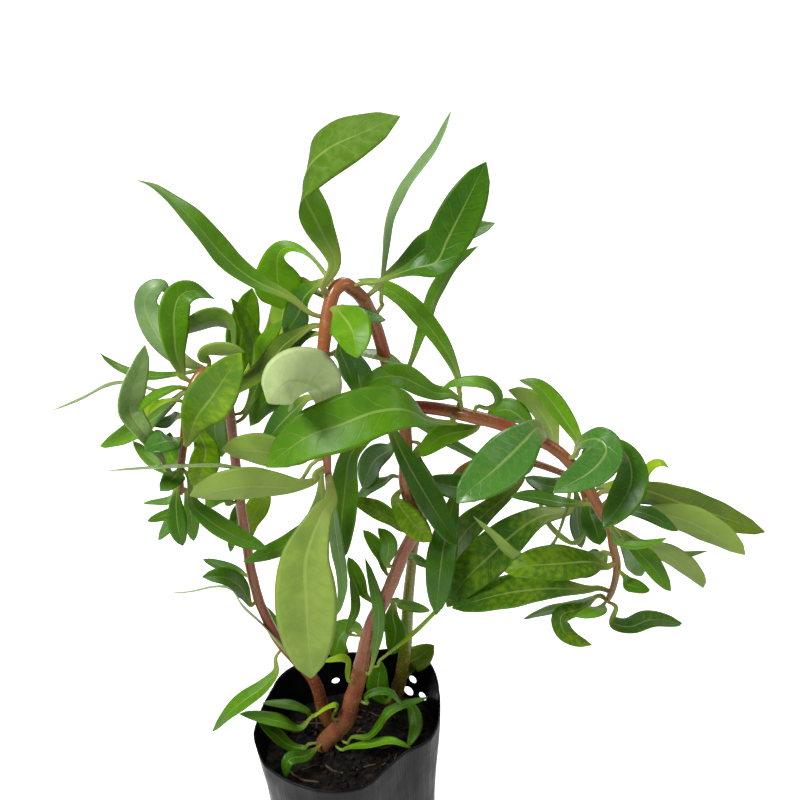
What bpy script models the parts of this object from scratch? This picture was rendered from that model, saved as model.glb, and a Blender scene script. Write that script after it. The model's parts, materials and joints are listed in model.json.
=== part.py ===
"""A potted Ludwigia inclinata: four leafy stems in soil, in a soft black nursery pot.

The stems and leaves are placed from the picture. A point of it is given by its pixel and by how
near the viewer it lies, in millimetres in front of the pot's middle. The origin is the middle of
the pot's underside, +Z is up, and the viewer looks along +Y and down.
"""

import math
from collections import namedtuple

import bmesh
import bpy
from mathutils import Matrix, Vector, noise

MM = 0.001
GAP = 0.35 * MM
LINE_END = 0.9999

# The viewer of the picture
EYE = Vector((0.0152, -0.2410, 0.3276))
PITCH = math.radians(29.5)
FOCAL_PIXELS = 1000
PICTURE_CENTRE = 400

# The pot
POT_HEIGHT = 70 * MM
POT_WALL = 0.8 * MM
POT_FLOOR = 1.2 * MM
BASE_RADIUS = 27 * MM
MOUTH_CENTRE = Vector((-2 * MM, 0, 0))
MOUTH_RADII_MM = (
    30.6, 33.3, 37.0, 35.0, 30.3, 29.6, 30.0, 30.6, 29.9,
    30.6, 32.4, 33.7, 33.2, 32.0, 30.5, 26.3, 25.6, 29.5,
)
POT_SIDES = 40
POT_LEVELS = (0, 0.04, 0.28, 0.52, 0.76, 1)
CRUMPLE = 0.35 * MM

# Punched holes: bearing in degrees, drop below the rim and radius in millimetres
POT_HOLES = ((50, 10.5, 1.6), (52, 16.3, 2.0), (42, 15.7, 1.75), (103, 12.7, 1.5))
PUNCH_LENGTH = 12 * MM

# The soil
SOIL_DROP = 16.5 * MM
SOIL_BACK_FALL = 0.10
SOIL_LUMPS = 1.3 * MM
LUMPS_PER_METRE = 150
ROOT_DEPTH = 9 * MM
ROOT_CLEARANCE = 0.6 * MM

# Stems
STEM_SIDES = 8
STEM_STEP = 12 * MM
STEM_BEND = math.radians(22)

# Leaves
STALK_SHARE = 0.12
STALK_REACH = 1.6 * MM
STALK_TURN = 1.2 * MM
SUNK_SHARE = 0.4
STALK_THICKNESS = 1.1 * MM
BLADE_THICKNESS = 0.55 * MM
THINNEST_FROM = 0.45
KEEL = 0.16
FRAME_STEPS = 28
STALK_STEPS = 6
FRAME_SMOOTHING = 8

Leaf = namedtuple("Leaf", "route near wide roll widest", defaults=(0.6,))
Stem = namedtuple("Stem", "route near thick planted colour")

STEM_RED = (0.23, 0.085, 0.04)
STEM_GREEN = (0.20, 0.19, 0.06)

# Each stem has its route in the picture, its nearness at evenly spaced points and its thickness.
STEMS = {
    "main_cane": Stem(
        route=[
            (325, 743), (345, 722), (352, 700), (358, 680), (367, 640), (373, 620), (384, 600),
            (395, 575), (402, 556), (410, 540), (419, 522), (410, 503), (405, 480), (406, 455),
            (405, 428), (401, 408), (393, 390), (388, 368), (383, 350), (377, 330), (370, 312),
            (362, 298), (350, 287), (343, 284), (335, 290), (331, 300), (327, 318), (325, 335),
            (322, 365), (321, 412), (326, 445), (328, 478),
        ],
        near=(-0.8, 3, 6, 8, 9.5, 10.5, 12, 15, 25, 32, 34, 33),
        thick=(6.2, 6.0, 5.2, 4.4, 3.9, 3.6, 3.5, 3.4, 3.3, 3.2, 2.8, 1.8),
        planted=True,
        colour=STEM_RED,
    ),
    "right_shoot": Stem(
        route=[
            (401, 409), (412, 407), (430, 408), (450, 411), (470, 416), (500, 424), (530, 437),
            (545, 443), (560, 453), (570, 463), (585, 480), (592, 495), (600, 510), (610, 528),
            (613, 547), (617, 566), (613, 588), (606, 603),
        ],
        near=(11, 17, 21, 23, 25, 26, 27, 27, 26, 24),
        thick=(3.5, 3.5, 3.4, 3.3, 3.0, 2.8, 2.6, 2.3, 2.0, 1.6),
        planted=False,
        colour=STEM_RED,
    ),
    "second_cane": Stem(
        route=[
            (395, 702), (402, 670), (406, 640), (408, 600), (411, 570), (414, 545), (422, 520),
            (433, 500), (450, 483), (463, 469), (480, 461), (500, 458), (530, 462), (562, 473),
            (575, 480), (583, 492), (586, 506),
        ],
        near=(-19.5, -17, -15, -14, -13.5, -12, -9, -4, 3, 10),
        thick=(4.6, 4.6, 4.4, 4.0, 3.4, 3.0, 2.7, 2.4, 2.1, 1.6),
        planted=True,
        colour=STEM_GREEN,
    ),
    "left_cane": Stem(
        route=[
            (336, 731), (325, 715), (318, 690), (311, 676), (297, 661), (285, 648), (275, 635),
            (262, 608), (257, 594), (250, 565), (247, 545), (240, 500), (233, 440), (230, 415),
            (226, 395), (216, 376), (207, 371), (197, 378), (190, 395), (186, 418), (184, 440),
            (182, 458), (180, 478), (182, 495),
        ],
        near=(-6.1, -4, -2, 1.5, 5, 8, 11, 14, 21, 27, 28.5, 28),
        thick=(5.0, 4.8, 4.0, 3.4, 3.1, 3.0, 2.9, 2.8, 2.7, 2.5, 2.2, 1.6),
        planted=True,
        colour=STEM_RED,
    ),
}

# Each leaf has its midrib's route in the picture from the stem to the tip, its nearness along the
# route in millimetres beyond its stem's, its width in millimetres, how far its upper face is
# rolled from the viewer along the route, in degrees, and the share of its length where it is widest
# if that isn't the usual place.
LEAVES = {
    "main_cane": [
        Leaf([(340, 298), (334, 262), (318, 225), (304, 195), (309, 168), (330, 148), (360, 134),
              (400, 116)], (0, -3, 0, 6, 10), 12.5, (30, 20, 15, 85, 150, 155, 155)),
        Leaf([(338, 285), (312, 258), (294, 248), (280, 252), (277, 272), (282, 309)],
             (0, -8, -13, -14, -12), 12, (60, 60, 40, 0, 0), 0.82),
        Leaf([(326, 318), (290, 298), (250, 278), (221, 254), (193, 221), (158, 190), (137, 180)],
             (0, 2, 4, 0), 9, (40, 50, 50, 60, 80)),
        Leaf([(373, 318), (381, 300), (383, 270), (388, 220), (400, 190), (417, 165), (433, 145),
              (451, 111)], (0, -8, -12, -16), 7, (120, 112, 110, 115)),
        Leaf([(350, 287), (380, 281), (412, 269), (436, 262), (447, 240), (463, 208), (486, 162)],
             (0, 4, 4, 0, -4), 10.5, (-60, -60, 0, 20, 20), 0.68),
        Leaf([(363, 299), (385, 279), (405, 266), (430, 246), (460, 235), (495, 223)],
             (0, -3, -8, -12), 10, (-50, -52, -52)),
        Leaf([(390, 376), (409, 367), (423, 333), (436, 295), (455, 265), (478, 246)],
             (0, -12, -18, -20), 8, (-60, -62, -60)),
        Leaf([(329, 308), (341, 314), (352, 330), (357, 358)], (0, 9, 16, 18), 9.5, (0, 0)),
        Leaf([(336, 289), (319, 284), (305, 297), (298, 315), (284, 336)],
             (0, -3, -8, -12), 9, (60, 40, 30)),
        Leaf([(332, 299), (300, 286), (286, 300), (280, 328), (268, 352), (250, 378), (229, 398)],
             (0, -22, -26, -28, -26), 9, (70, 50, 40, 50)),
        Leaf([(326, 325), (303, 332), (283, 347), (266, 368), (231, 396)],
             (0, -6, -8, -6), 9, (50, 55, 60)),
        Leaf([(323, 356), (337, 352), (350, 360), (360, 382), (358, 402)],
             (0, -10, -17, -20), 8, (30, 20, 10)),
        Leaf([(322, 410), (322, 392), (305, 381), (285, 383), (268, 403)],
             (0, 8, 16, 22, 26), 15, (150, 165, 175)),
        Leaf([(400, 402), (388, 408), (391, 430), (408, 465), (430, 503), (457, 545)],
             (0, 7, 9, 8, 4), 10, (-40, -45, -40)),
        Leaf([(405, 424), (385, 425), (365, 440), (350, 457), (345, 490), (341, 530), (341, 560)],
             (0, 3, 4, 4, 0), 9, (25, 20, 20)),
        Leaf([(328, 477), (331, 500), (322, 513), (311, 540), (305, 565), (306, 600), (308, 640),
              (311, 678)], (0, 8, 14, 18, 20), 15.5, (10, 0, 0)),
        Leaf([(326, 450), (300, 458), (275, 453), (250, 450), (222, 450)],
             (0, -6, -13), 9.5, (120, 150, 150)),
        Leaf([(327, 466), (315, 481), (295, 487), (265, 486), (235, 487), (190, 496)],
             (0, 6, 10, 6), 10.5, (120, 140, 140)),
        Leaf([(321, 400), (300, 405), (280, 425), (261, 448)], (0, -6, -10, -12), 8, (40, 40)),
        Leaf([(328, 474), (321, 504), (311, 530), (286, 546), (243, 562)],
             (0, -6, -10, -12), 9, (30, 50, 50)),
    ],
    "right_shoot": [
        Leaf([(458, 413), (459, 392), (457, 376), (445, 350), (427, 325), (403, 300), (380, 286),
              (357, 279)], (0, -5, -10, -15, -17), 7.5, (40, 45, 50)),
        Leaf([(461, 413), (459, 400), (449, 394), (435, 393), (420, 386), (400, 377), (380, 378),
              (360, 388)], (0, 3, 6, 6, 5), 8, (50, 45, 30)),
        Leaf([(570, 463), (577, 440), (563, 418), (548, 398), (535, 385), (519, 380)],
             (0, -8, -14, -18), 8.5, (40, 50, 60)),
        Leaf([(558, 452), (552, 430), (538, 408), (522, 396), (508, 390)],
             (0, -16, -24, -28), 8.5, (130, 140, 140)),
        Leaf([(457, 412), (455, 423), (430, 421), (405, 410), (375, 412), (340, 425), (305, 438),
              (266, 467)], (0, 21, 27, 28, 28), 13, (75, 72, 60, 10, 12, 15, 20), 0.68),
        Leaf([(541, 441), (537, 428), (525, 440), (500, 465), (470, 490), (457, 503)],
             (0, 14, 22, 26), 12, (0, 0, 10)),
        Leaf([(566, 459), (580, 444), (597, 439), (606, 452), (590, 472), (553, 493)],
             (0, 7, 14, 20, 24), 9, (-60, -40, 10, 30)),
        Leaf([(574, 467), (584, 451), (603, 443), (621, 449), (631, 467), (628, 492), (603, 529)],
             (0, 4, 10, 16), 8.5, (-60, -60, 0, 20), 0.68),
        Leaf([(594, 499), (645, 491), (680, 503), (715, 515), (765, 532)],
             (0, -8, -12, -14), 10.5, (-35, -35, -40)),
        Leaf([(605, 519), (645, 513), (680, 518), (715, 535), (745, 555)],
             (0, -4, -4, -4), 10.5, (-120, -140, -140)),
        Leaf([(600, 510), (625, 500), (660, 500), (705, 510), (748, 531)],
             (0, -14, -20, -22), 9, (-45, -45)),
        Leaf([(609, 526), (633, 547), (650, 565), (671, 591)], (0, 8, 12), 8.5, (-60, -50)),
        Leaf([(611, 534), (640, 543), (665, 553), (690, 573), (703, 588)],
             (0, -6, -12), 9.5, (-110, -130, -130)),
        Leaf([(616, 560), (590, 562), (560, 564), (530, 566), (505, 572)],
             (0, 8, 12, 12), 11, (40, 30, 30)),
        Leaf([(612, 592), (585, 590), (545, 589), (500, 595), (452, 608)],
             (0, -6, -9, -10), 12, (40, 35)),
        Leaf([(606, 600), (612, 622), (630, 627), (652, 620), (682, 623)],
             (0, 0, -4, -8), 8, (-40, -50, -50)),
    ],
    "second_cane": [
        Leaf([(577, 483), (569, 497), (565, 515), (553, 545), (537, 562), (515, 557), (495, 538),
              (473, 516)], (0, 14, 18, 20, 20), 8, (60, 90, 110, 110)),
        Leaf([(586, 503), (567, 512), (540, 517), (515, 533), (490, 556), (465, 580), (447, 607)],
             (0, -2, 0, 2), 13, (20, 15, 10)),
        Leaf([(532, 463), (520, 474), (500, 485), (460, 488), (424, 479)],
             (0, 8, 8, 2), 10, (40, 35, 35)),
        Leaf([(525, 461), (505, 464), (478, 458), (450, 444), (425, 428), (388, 408)],
             (0, 4, 5, 4, 3), 7, (60, 65, 60)),
        Leaf([(462, 470), (453, 505), (447, 530), (441, 565), (436, 615)],
             (0, 14, 23, 26), 9, (15, 15)),
        Leaf([(520, 461), (522, 480), (508, 495), (485, 514), (460, 540), (452, 577)],
             (0, 3, 1, -4), 10, (30, 35, 35)),
    ],
    "left_cane": [
        Leaf([(184, 440), (196, 418), (213, 395), (241, 353)], (0, 12, 18, 20), 11, (0, 0)),
        Leaf([(185, 430), (198, 433), (205, 449), (202, 470), (195, 487)],
             (0, 2, 5, 5), 8, (-20, -20)),
        Leaf([(180, 474), (160, 455), (145, 435), (130, 413), (132, 390), (140, 365), (145, 345)],
             (0, 4, 0, -4), 7.5, (60, 40, 20)),
        Leaf([(210, 372), (185, 362), (172, 352), (158, 335), (148, 315), (145, 300), (152, 289),
              (163, 286), (170, 294)], (0, -6, -12, -14), 8, (140, 150, 150), 0.55),
        Leaf([(194, 383), (181, 371), (176, 355), (174, 335), (174, 312), (180, 296), (195, 291),
              (215, 299)], (0, 0, -2, -6, -10), 7.5, (20, 20, 0, -80), 0.55),
        Leaf([(219, 380), (232, 362), (233, 340), (228, 323), (210, 321), (190, 330), (181, 336)],
             (0, 4, 0, -6), 8.5, (30, 80, 130, 130)),
        Leaf([(227, 399), (238, 358), (241, 335), (246, 312), (252, 288)],
             (0, -8, -14, -18), 9, (20, 20)),
        Leaf([(231, 425), (252, 400), (258, 378), (255, 350), (246, 325), (231, 298)],
             (0, -4, -5, -5), 6.5, (40, 40)),
        Leaf([(182, 468), (193, 505), (212, 523), (238, 538), (268, 549)],
             (0, 4, 4, 2), 8.5, (-50, -50)),
        Leaf([(258, 598), (242, 589), (225, 578), (202, 577)], (0, 10, 14), 8, (40, 40)),
        Leaf([(190, 395), (165, 410), (140, 428), (100, 446)], (0, -10, -16), 8.5, (50, 50)),
        Leaf([(284, 647), (276, 672), (262, 688), (245, 700), (228, 714), (212, 732)],
             (0, 6, 10, 12), 7, (30, 35, 60)),
    ],
}

# Young and narrow leaves, in the same form, which are one piece with the stem that bears them
YOUNG_LEAVES = {
    "main_cane": [
        Leaf([(325, 334), (305, 338), (295, 347), (286, 362)], (0, -8, -12), 5, (50, 50)),
        Leaf([(329, 310), (350, 311), (370, 317), (386, 320)], (0, -2, -4), 6, (-60, -60)),
        Leaf([(391, 386), (404, 372), (390, 360), (365, 354), (345, 349)],
             (0, 3, 3, 2), 6, (70, 60)),
        Leaf([(325, 333), (340, 350), (348, 370), (356, 392)], (0, 2, 0), 6, (-50, -50)),
        Leaf([(406, 440), (415, 455), (425, 485), (447, 525)], (0, -1, -1), 7, (-40, -40)),
        Leaf([(327, 462), (333, 505), (338, 545), (343, 580), (340, 605), (334, 618)],
             (0, -14, -18, -20), 6, (50, 50)),
        Leaf([(406, 448), (390, 450), (374, 462), (362, 488)], (0, -8, -11), 9, (30, 30)),
        Leaf([(383, 602), (393, 616), (396, 634), (390, 654)], (0, -8, -12), 8, (20, 20)),
        Leaf([(321, 390), (290, 391), (265, 402), (250, 426)], (0, -16, -22, -24), 8, (30, 20)),
        Leaf([(405, 480), (385, 482), (368, 490), (354, 505)], (0, -8, -12), 5.5, (50, 50)),
        Leaf([(413, 534), (390, 518), (370, 508), (351, 499)], (0, 2, 0), 7.5, (45, 45)),
        Leaf([(405, 485), (398, 503), (412, 522), (431, 542)], (0, 5, 6), 7.5, (20, 10)),
        Leaf([(400, 562), (415, 560), (431, 566)], (0, -6, -8), 5, (-50, -50)),
        Leaf([(384, 600), (400, 605), (430, 610)], (0, -4, -8), 5.5, (-50, -50)),
        Leaf([(361, 668), (380, 660), (400, 645), (420, 628), (440, 607), (450, 590)],
             (0, 1, 0, -2), 3, (-60, -60)),
        Leaf([(399, 564), (388, 542), (378, 528)], (0, 4, 2), 5.5, (20, 20)),
        Leaf([(392, 582), (380, 553), (363, 530)], (0, -6, -8), 5, (30, 30)),
        Leaf([(379, 608), (362, 590), (348, 557)], (0, -4, -6), 5, (20, 20)),
        Leaf([(362, 664), (377, 640), (378, 610), (370, 575), (365, 558)],
             (0, 7, 7, 4), 4.5, (30, 30)),
        Leaf([(368, 637), (347, 630), (355, 607), (350, 575)], (0, 2, 0), 4, (40, 40)),
        Leaf([(366, 645), (354, 629), (341, 636), (333, 658)], (0, -8, -12, -14), 10, (60, 20, 10)),
        Leaf([(360, 674), (345, 660), (322, 662)], (0, 8, 12), 4, (50, 50)),
        Leaf([(353, 698), (366, 697), (378, 692), (390, 693), (401, 704)], (0, 4, 6), 4, (-50, -50)),
        Leaf([(335, 733), (352, 737), (368, 737), (380, 725), (392, 710), (428, 697)],
             (0, 6, 5, -4), 5, (-50, -50)),
        Leaf([(331, 738), (350, 747), (372, 744), (392, 741), (412, 748)],
             (0, 6, 8, 9), 4.5, (-50, -50)),
        Leaf([(347, 718), (336, 706), (325, 709), (313, 718)], (0, 4, 6), 3, (60, 60)),
        Leaf([(326, 742), (305, 748), (290, 746), (275, 735), (258, 722)],
             (0, 2, 5, 8), 6, (40, 40)),
        Leaf([(325, 741), (305, 756), (289, 760), (285, 778)], (0, 10, 16, 18), 5, (20, 20)),
        Leaf([(327, 459), (295, 484), (260, 475), (225, 467), (180, 467), (105, 471)],
             (0, 5, 8, 8), 6.5, (84, 84)),
    ],
    "right_shoot": [
        Leaf([(473, 418), (488, 408), (497, 400), (490, 388), (475, 383), (455, 384), (440, 390)],
             (0, 4, 8, 8), 6, (60, 60)),
        Leaf([(592, 497), (615, 486), (640, 480), (652, 466), (662, 463), (669, 468)],
             (0, -12, -14, -14), 5, (-50, -50)),
        Leaf([(604, 518), (625, 510), (650, 516), (678, 531)], (0, 4, 6), 6, (-50, -50)),
        Leaf([(613, 545), (650, 547), (680, 555), (708, 551)], (0, -14, -24, -26), 5, (-50, -50)),
        Leaf([(608, 524), (620, 543), (635, 546), (655, 543), (667, 538)],
             (0, 12, 14, 14), 5, (-60, -60)),
        Leaf([(617, 568), (628, 585), (650, 590)], (0, 4, 4), 6, (-50, -50)),
        Leaf([(606, 602), (575, 606), (545, 612), (523, 619)], (0, -14, -22), 6, (60, 60)),
        Leaf([(607, 600), (595, 612), (575, 617)], (0, 12, 14), 5, (40, 40)),
        Leaf([(597, 505), (560, 503), (535, 498), (510, 497)], (0, -6, -6, -4), 6, (50, 50)),
        Leaf([(605, 603), (583, 608), (562, 615), (563, 630), (575, 640), (592, 645)],
             (0, -5, -7, -5, -3), 5.5, (40, 20, -20)),
        Leaf([(480, 419), (468, 431), (442, 437), (417, 456)], (0, -5, -6, -6), 7, (30, 30)),
        Leaf([(528, 436), (522, 419), (507, 410), (487, 414)], (0, -8, -11, -13), 7, (30, 20)),
        Leaf([(616, 556), (603, 558), (590, 565), (570, 572)], (0, -6, -10, -12), 8, (30, 30)),
        Leaf([(613, 542), (626, 545), (636, 558), (642, 576)], (0, -9, -16, -18), 9, (-20, -20)),
    ],
    "second_cane": [
        Leaf([(585, 498), (590, 512), (595, 526), (600, 545)], (0, 6, 8), 7, (0, 0)),
        Leaf([(579, 486), (577, 503), (577, 520), (582, 548)], (0, -4, -6), 6, (-30, -30)),
        Leaf([(572, 479), (550, 487), (525, 477)], (0, -10, -16), 7, (40, 40)),
        Leaf([(586, 505), (585, 530), (573, 544), (552, 530), (541, 510), (540, 488)],
             (0, 2, -4, -8), 5, (110, 110)),
        Leaf([(399, 688), (386, 700), (378, 687), (382, 662)], (0, 6, 8, 6), 8, (-10, -10)),
        Leaf([(397, 696), (412, 708), (416, 726), (408, 747)], (0, 8, 16, 21), 5, (0, 0)),
        Leaf([(399, 684), (409, 663), (421, 656), (434, 645)], (0, -3, -5), 9, (0, 0)),
    ],
    "left_cane": [
        Leaf([(184, 438), (165, 442), (144, 449)], (0, 6, 8), 9, (50, 50)),
        Leaf([(181, 482), (160, 468), (145, 455), (133, 441)], (0, -8, -12), 6, (50, 50)),
        Leaf([(186, 422), (168, 422), (150, 424)], (0, -8, -10), 5, (50, 50)),
        Leaf([(192, 390), (170, 390), (150, 400), (138, 412)], (0, 6, 8), 5, (60, 60)),
        Leaf([(192, 391), (160, 391), (128, 383), (105, 387), (80, 400), (51, 411)],
             (0, -4, -6, -8), 5, (82, 82)),
        Leaf([(188, 402), (160, 404), (148, 412), (146, 425), (150, 440)],
             (0, -2, -2, -2), 4.5, (60, 60)),
        Leaf([(206, 371), (175, 375), (150, 377), (125, 371), (108, 361), (100, 353)],
             (0, -2, -6, -8), 5, (60, 60)),
        Leaf([(207, 371), (205, 355), (225, 350), (245, 352)], (0, 6, 8), 6, (-130, -130)),
        Leaf([(230, 415), (255, 392), (263, 365), (265, 345), (283, 320)],
             (0, 2, 0), 6, (-30, -30)),
        Leaf([(254, 580), (230, 570), (203, 559)], (0, -8, -12), 5.5, (50, 50)),
        Leaf([(286, 649), (265, 627), (243, 607), (232, 590), (215, 587), (190, 592), (167, 593)],
             (0, 5, 7, 8, 8), 4, (80, 80)),
        Leaf([(283, 646), (272, 622), (258, 603)], (0, -8, -10), 4.5, (30, 30)),
        Leaf([(246, 543), (252, 520), (262, 500), (268, 488)], (0, -8, -14), 7.5, (-20, -20)),
        Leaf([(245, 535), (236, 520), (238, 503)], (0, -6, -8), 5, (30, 30)),
        Leaf([(243, 523), (234, 534), (230, 552)], (0, 4, 5), 4, (50, 50)),
        Leaf([(182, 492), (175, 512), (147, 521)], (0, 2, 2), 4.5, (50, 50)),
        Leaf([(182, 494), (174, 516), (158, 540)], (0, -5, -7), 4.5, (40, 40)),
        Leaf([(181, 480), (176, 506), (178, 528), (183, 546)], (0, 6, 7), 5, (0, 0)),
        Leaf([(182, 493), (191, 518), (194, 541)], (0, -4, -5), 4.5, (-20, -20)),
        Leaf([(182, 466), (172, 480), (160, 491)], (0, 9, 12), 5.5, (20, 20)),
        Leaf([(181, 488), (170, 500), (143, 503)], (0, -11, -15), 4, (60, 60)),
        Leaf([(322, 708), (300, 728), (280, 722), (239, 714)], (0, 6, 12, 14), 7, (50, 50)),
        Leaf([(323, 712), (308, 712), (293, 706), (262, 703)], (0, 3, 4), 5, (50, 50)),
        Leaf([(228, 404), (218, 415), (215, 432), (222, 457)], (0, -7, -10, -10), 8, (20, 20)),
        Leaf([(240, 500), (230, 493), (217, 496), (205, 506)], (0, 4, 3), 6, (30, 30)),
        Leaf([(181, 470), (172, 458), (168, 447), (170, 432)], (0, -9, -14, -16), 6, (0, 0)),
    ],
}

LEAF_SHARES = (0, 0.09, 0.2, 0.32, 0.45, 0.58, 0.71, 0.83, 0.93)
YOUNG_SHARES = (0, 0.15, 0.35, 0.58, 0.8)
LEAF_GREEN = (0.10, 0.24, 0.035)


def clear_scene():
    for thing in list(bpy.data.objects):
        bpy.data.objects.remove(thing)


def place(px, py, near):
    """Point seen at a pixel of the picture, near millimetres in front of the pot's middle."""
    right = (px - PICTURE_CENTRE) / FOCAL_PIXELS
    down = (py - PICTURE_CENTRE) / FOCAL_PIXELS
    ahead = math.cos(PITCH) - down * math.sin(PITCH)
    fall = math.sin(PITCH) + down * math.cos(PITCH)
    reach = (-near * MM - EYE.y) / ahead
    return EYE + Vector((right, ahead, -fall)) * reach


def pixel(point):
    """Pixel of the picture at which a point is seen."""
    ray = point - EYE
    depth = ray.y * math.cos(PITCH) - ray.z * math.sin(PITCH)
    height = ray.y * math.sin(PITCH) + ray.z * math.cos(PITCH)
    return Vector((ray.x, -height)) * FOCAL_PIXELS / depth + Vector((PICTURE_CENTRE, PICTURE_CENTRE))


def along(values, share):
    """Value at a share of the way through evenly spaced values."""
    step = share * (len(values) - 1)
    index = min(int(step), len(values) - 2)
    return values[index] + (values[index + 1] - values[index]) * (step - index)


def shares_of(points):
    """Each point's share of the length of the line through points."""
    lengths = [0.0]
    for a, b in zip(points, points[1:]):
        lengths.append(lengths[-1] + (b - a).length)
    return [length / lengths[-1] for length in lengths]


def smooth(points, steps=8):
    """Fine line along the curve that runs smoothly through points."""
    padded = [2 * points[0] - points[1], *points, 2 * points[-1] - points[-2]]
    line = []
    for a, b, c, d in zip(padded, padded[1:], padded[2:], padded[3:]):
        for step in range(steps):
            t = step / steps
            line.append(
                b
                + (c - a) * (0.5 * t)
                + (2 * a - 5 * b + 4 * c - d) * (0.5 * t * t)
                + (3 * b - a - 3 * c + d) * (0.5 * t * t * t)
            )
    line.append(points[-1])
    return line


def at_share(line, shares, share):
    """Point and direction at a share of a line whose points have the given shares."""
    index = max(i for i in range(len(line) - 1) if shares[i] <= share)
    mix = (share - shares[index]) / (shares[index + 1] - shares[index])
    point = line[index].lerp(line[index + 1], mix)
    return point, (line[index + 1] - line[index]).normalized(), share


def loft(name, rings, tip=None, creased=False):
    """Closed body through rings of points: one face is extruded from each ring to the next.

    A creased body has rings of four points, and both its sides are split the same way from ring to
    ring, so that a thin blade's faces stay apart where it twists.
    """
    bm = bmesh.new()
    cap = bm.faces.new([bm.verts.new(point) for point in rings[0]])
    corners = [list(cap.verts)]
    for ring in rings[1:]:
        cap = bmesh.ops.extrude_discrete_faces(bm, faces=[cap])["faces"][0]
        for vert, point in zip(cap.verts, ring):
            vert.co = point
        corners.append(list(cap.verts))
    if creased:
        for lower, higher in zip(corners, corners[1:]):
            for edge_corner in (0, 2):
                for rib_corner in (1, 3):
                    pair = [lower[edge_corner], higher[rib_corner]]
                    bmesh.ops.connect_verts(bm, verts=pair)
    if tip is not None:
        bmesh.ops.pointmerge(bm, verts=cap.verts[:], merge_co=tip)
    bmesh.ops.holes_fill(bm, edges=[edge for edge in bm.edges if edge.is_boundary])
    bmesh.ops.recalc_face_normals(bm, faces=bm.faces)
    if bm.calc_volume(signed=True) < 0:
        bmesh.ops.reverse_faces(bm, faces=bm.faces)
    mesh = bpy.data.meshes.new(name)
    bm.to_mesh(mesh)
    bm.free()
    body = bpy.data.objects.new(name, mesh)
    bpy.context.collection.objects.link(body)
    return body


def combine(body, others, operation):
    """Joins other bodies to a body, or cuts them out of it, and removes them."""
    for other in others:
        change = body.modifiers.new(other.name, "BOOLEAN")
        change.operation = operation
        change.solver = "MANIFOLD"
        change.object = other
    mesh = bpy.data.meshes.new_from_object(body.evaluated_get(bpy.context.evaluated_depsgraph_get()))
    body.modifiers.clear()
    body.data = mesh
    for other in others:
        bpy.data.objects.remove(other)


def paint(body, colour, roughness):
    material = bpy.data.materials.new(body.name)
    material.use_nodes = True
    shader = material.node_tree.nodes["Principled BSDF"]
    shader.inputs["Base Color"].default_value = (*colour, 1)
    shader.inputs["Roughness"].default_value = roughness
    shader.inputs["Metallic"].default_value = 0
    body.data.materials.clear()
    body.data.materials.append(material)


def mouth_radius(angle):
    return along((*MOUTH_RADII_MM, MOUTH_RADII_MM[0]), angle / math.tau % 1) * MM


def pot_outline(level, inset):
    """Ring of the pot's wall at a share of its height, moved inwards by inset."""
    ring = []
    for side in range(POT_SIDES):
        angle = math.tau * side / POT_SIDES
        radius = BASE_RADIUS + (mouth_radius(angle) - BASE_RADIUS) * level
        radius += CRUMPLE * math.sin(5 * angle + 9 * level) * level - inset
        outward = Vector((math.cos(angle), math.sin(angle), 0))
        ring.append(MOUTH_CENTRE * level + outward * radius + Vector((0, 0, level * POT_HEIGHT)))
    return ring


def pot():
    outside = [pot_outline(level, 0) for level in POT_LEVELS]
    floor_level = POT_FLOOR / POT_HEIGHT
    inside = [pot_outline(level, POT_WALL) for level in (*POT_LEVELS[:1:-1], floor_level)]
    body = loft("pot", outside + inside)
    cutters = []
    for bearing, drop, radius in POT_HOLES:
        angle = math.radians(bearing)
        outward = Vector((math.cos(angle), math.sin(angle), 0))
        reach = mouth_radius(angle)
        centre = MOUTH_CENTRE + outward * reach + Vector((0, 0, POT_HEIGHT - drop * MM))
        bm = bmesh.new()
        bmesh.ops.create_cone(
            bm, cap_ends=True, segments=10, radius1=radius * MM, radius2=radius * MM,
            depth=PUNCH_LENGTH,
            matrix=Matrix.Translation(centre) @ outward.to_track_quat("Z", "Y").to_matrix().to_4x4(),
        )
        mesh = bpy.data.meshes.new("hole")
        bm.to_mesh(mesh)
        bm.free()
        cutter = bpy.data.objects.new("hole", mesh)
        bpy.context.collection.objects.link(cutter)
        cutters.append(cutter)
    combine(body, cutters, "DIFFERENCE")
    paint(body, (0.012, 0.012, 0.013), 0.35)


def soil_height(point):
    """Height of the soil's lumpy surface, which falls towards the back."""
    lump = noise.noise(point * LUMPS_PER_METRE) * SOIL_LUMPS
    return POT_HEIGHT - SOIL_DROP - point.y * SOIL_BACK_FALL + lump


def soil(planted):
    inset = POT_WALL + 2 * GAP
    floor_level = (POT_FLOOR + GAP) / POT_HEIGHT
    rings = [pot_outline(level, inset) for level in (floor_level, *POT_LEVELS[2:4])]
    shore_level = (POT_HEIGHT - SOIL_DROP) / POT_HEIGHT
    shore = pot_outline(shore_level, inset)
    for share in (1, 0.74, 0.48, 0.22):
        ring = []
        for point in shore:
            spot = Vector((point.x * share, point.y * share, 0))
            ring.append(Vector((spot.x, spot.y, soil_height(spot))))
        rings.append(ring)
    middle = Vector((0, 0, soil_height(Vector((0, 0, 0)))))
    body = loft("soil", rings, tip=middle)
    sockets = []
    for line, shares, thick in planted:
        deeper = [line[0] - Vector((0, 0, ROOT_CLEARANCE)), *line[1:]]
        sockets.append(stem_body("socket", deeper, shares, thick, GAP))
    combine(body, sockets, "DIFFERENCE")
    paint(body, (0.035, 0.024, 0.016), 0.95)


def stem_line(stem):
    """Fine middle line of a stem, with each point's share of its length."""
    shares = shares_of([Vector(spot) for spot in stem.route])
    points = [place(*spot, along(stem.near, share)) for spot, share in zip(stem.route, shares)]
    if stem.planted:
        points.insert(0, points[0] - Vector((0, 0, ROOT_DEPTH)))
    line = smooth(points)
    return line, shares_of(line)


def stem_radius(thick, share):
    return along(thick, share) * MM / 2


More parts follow.
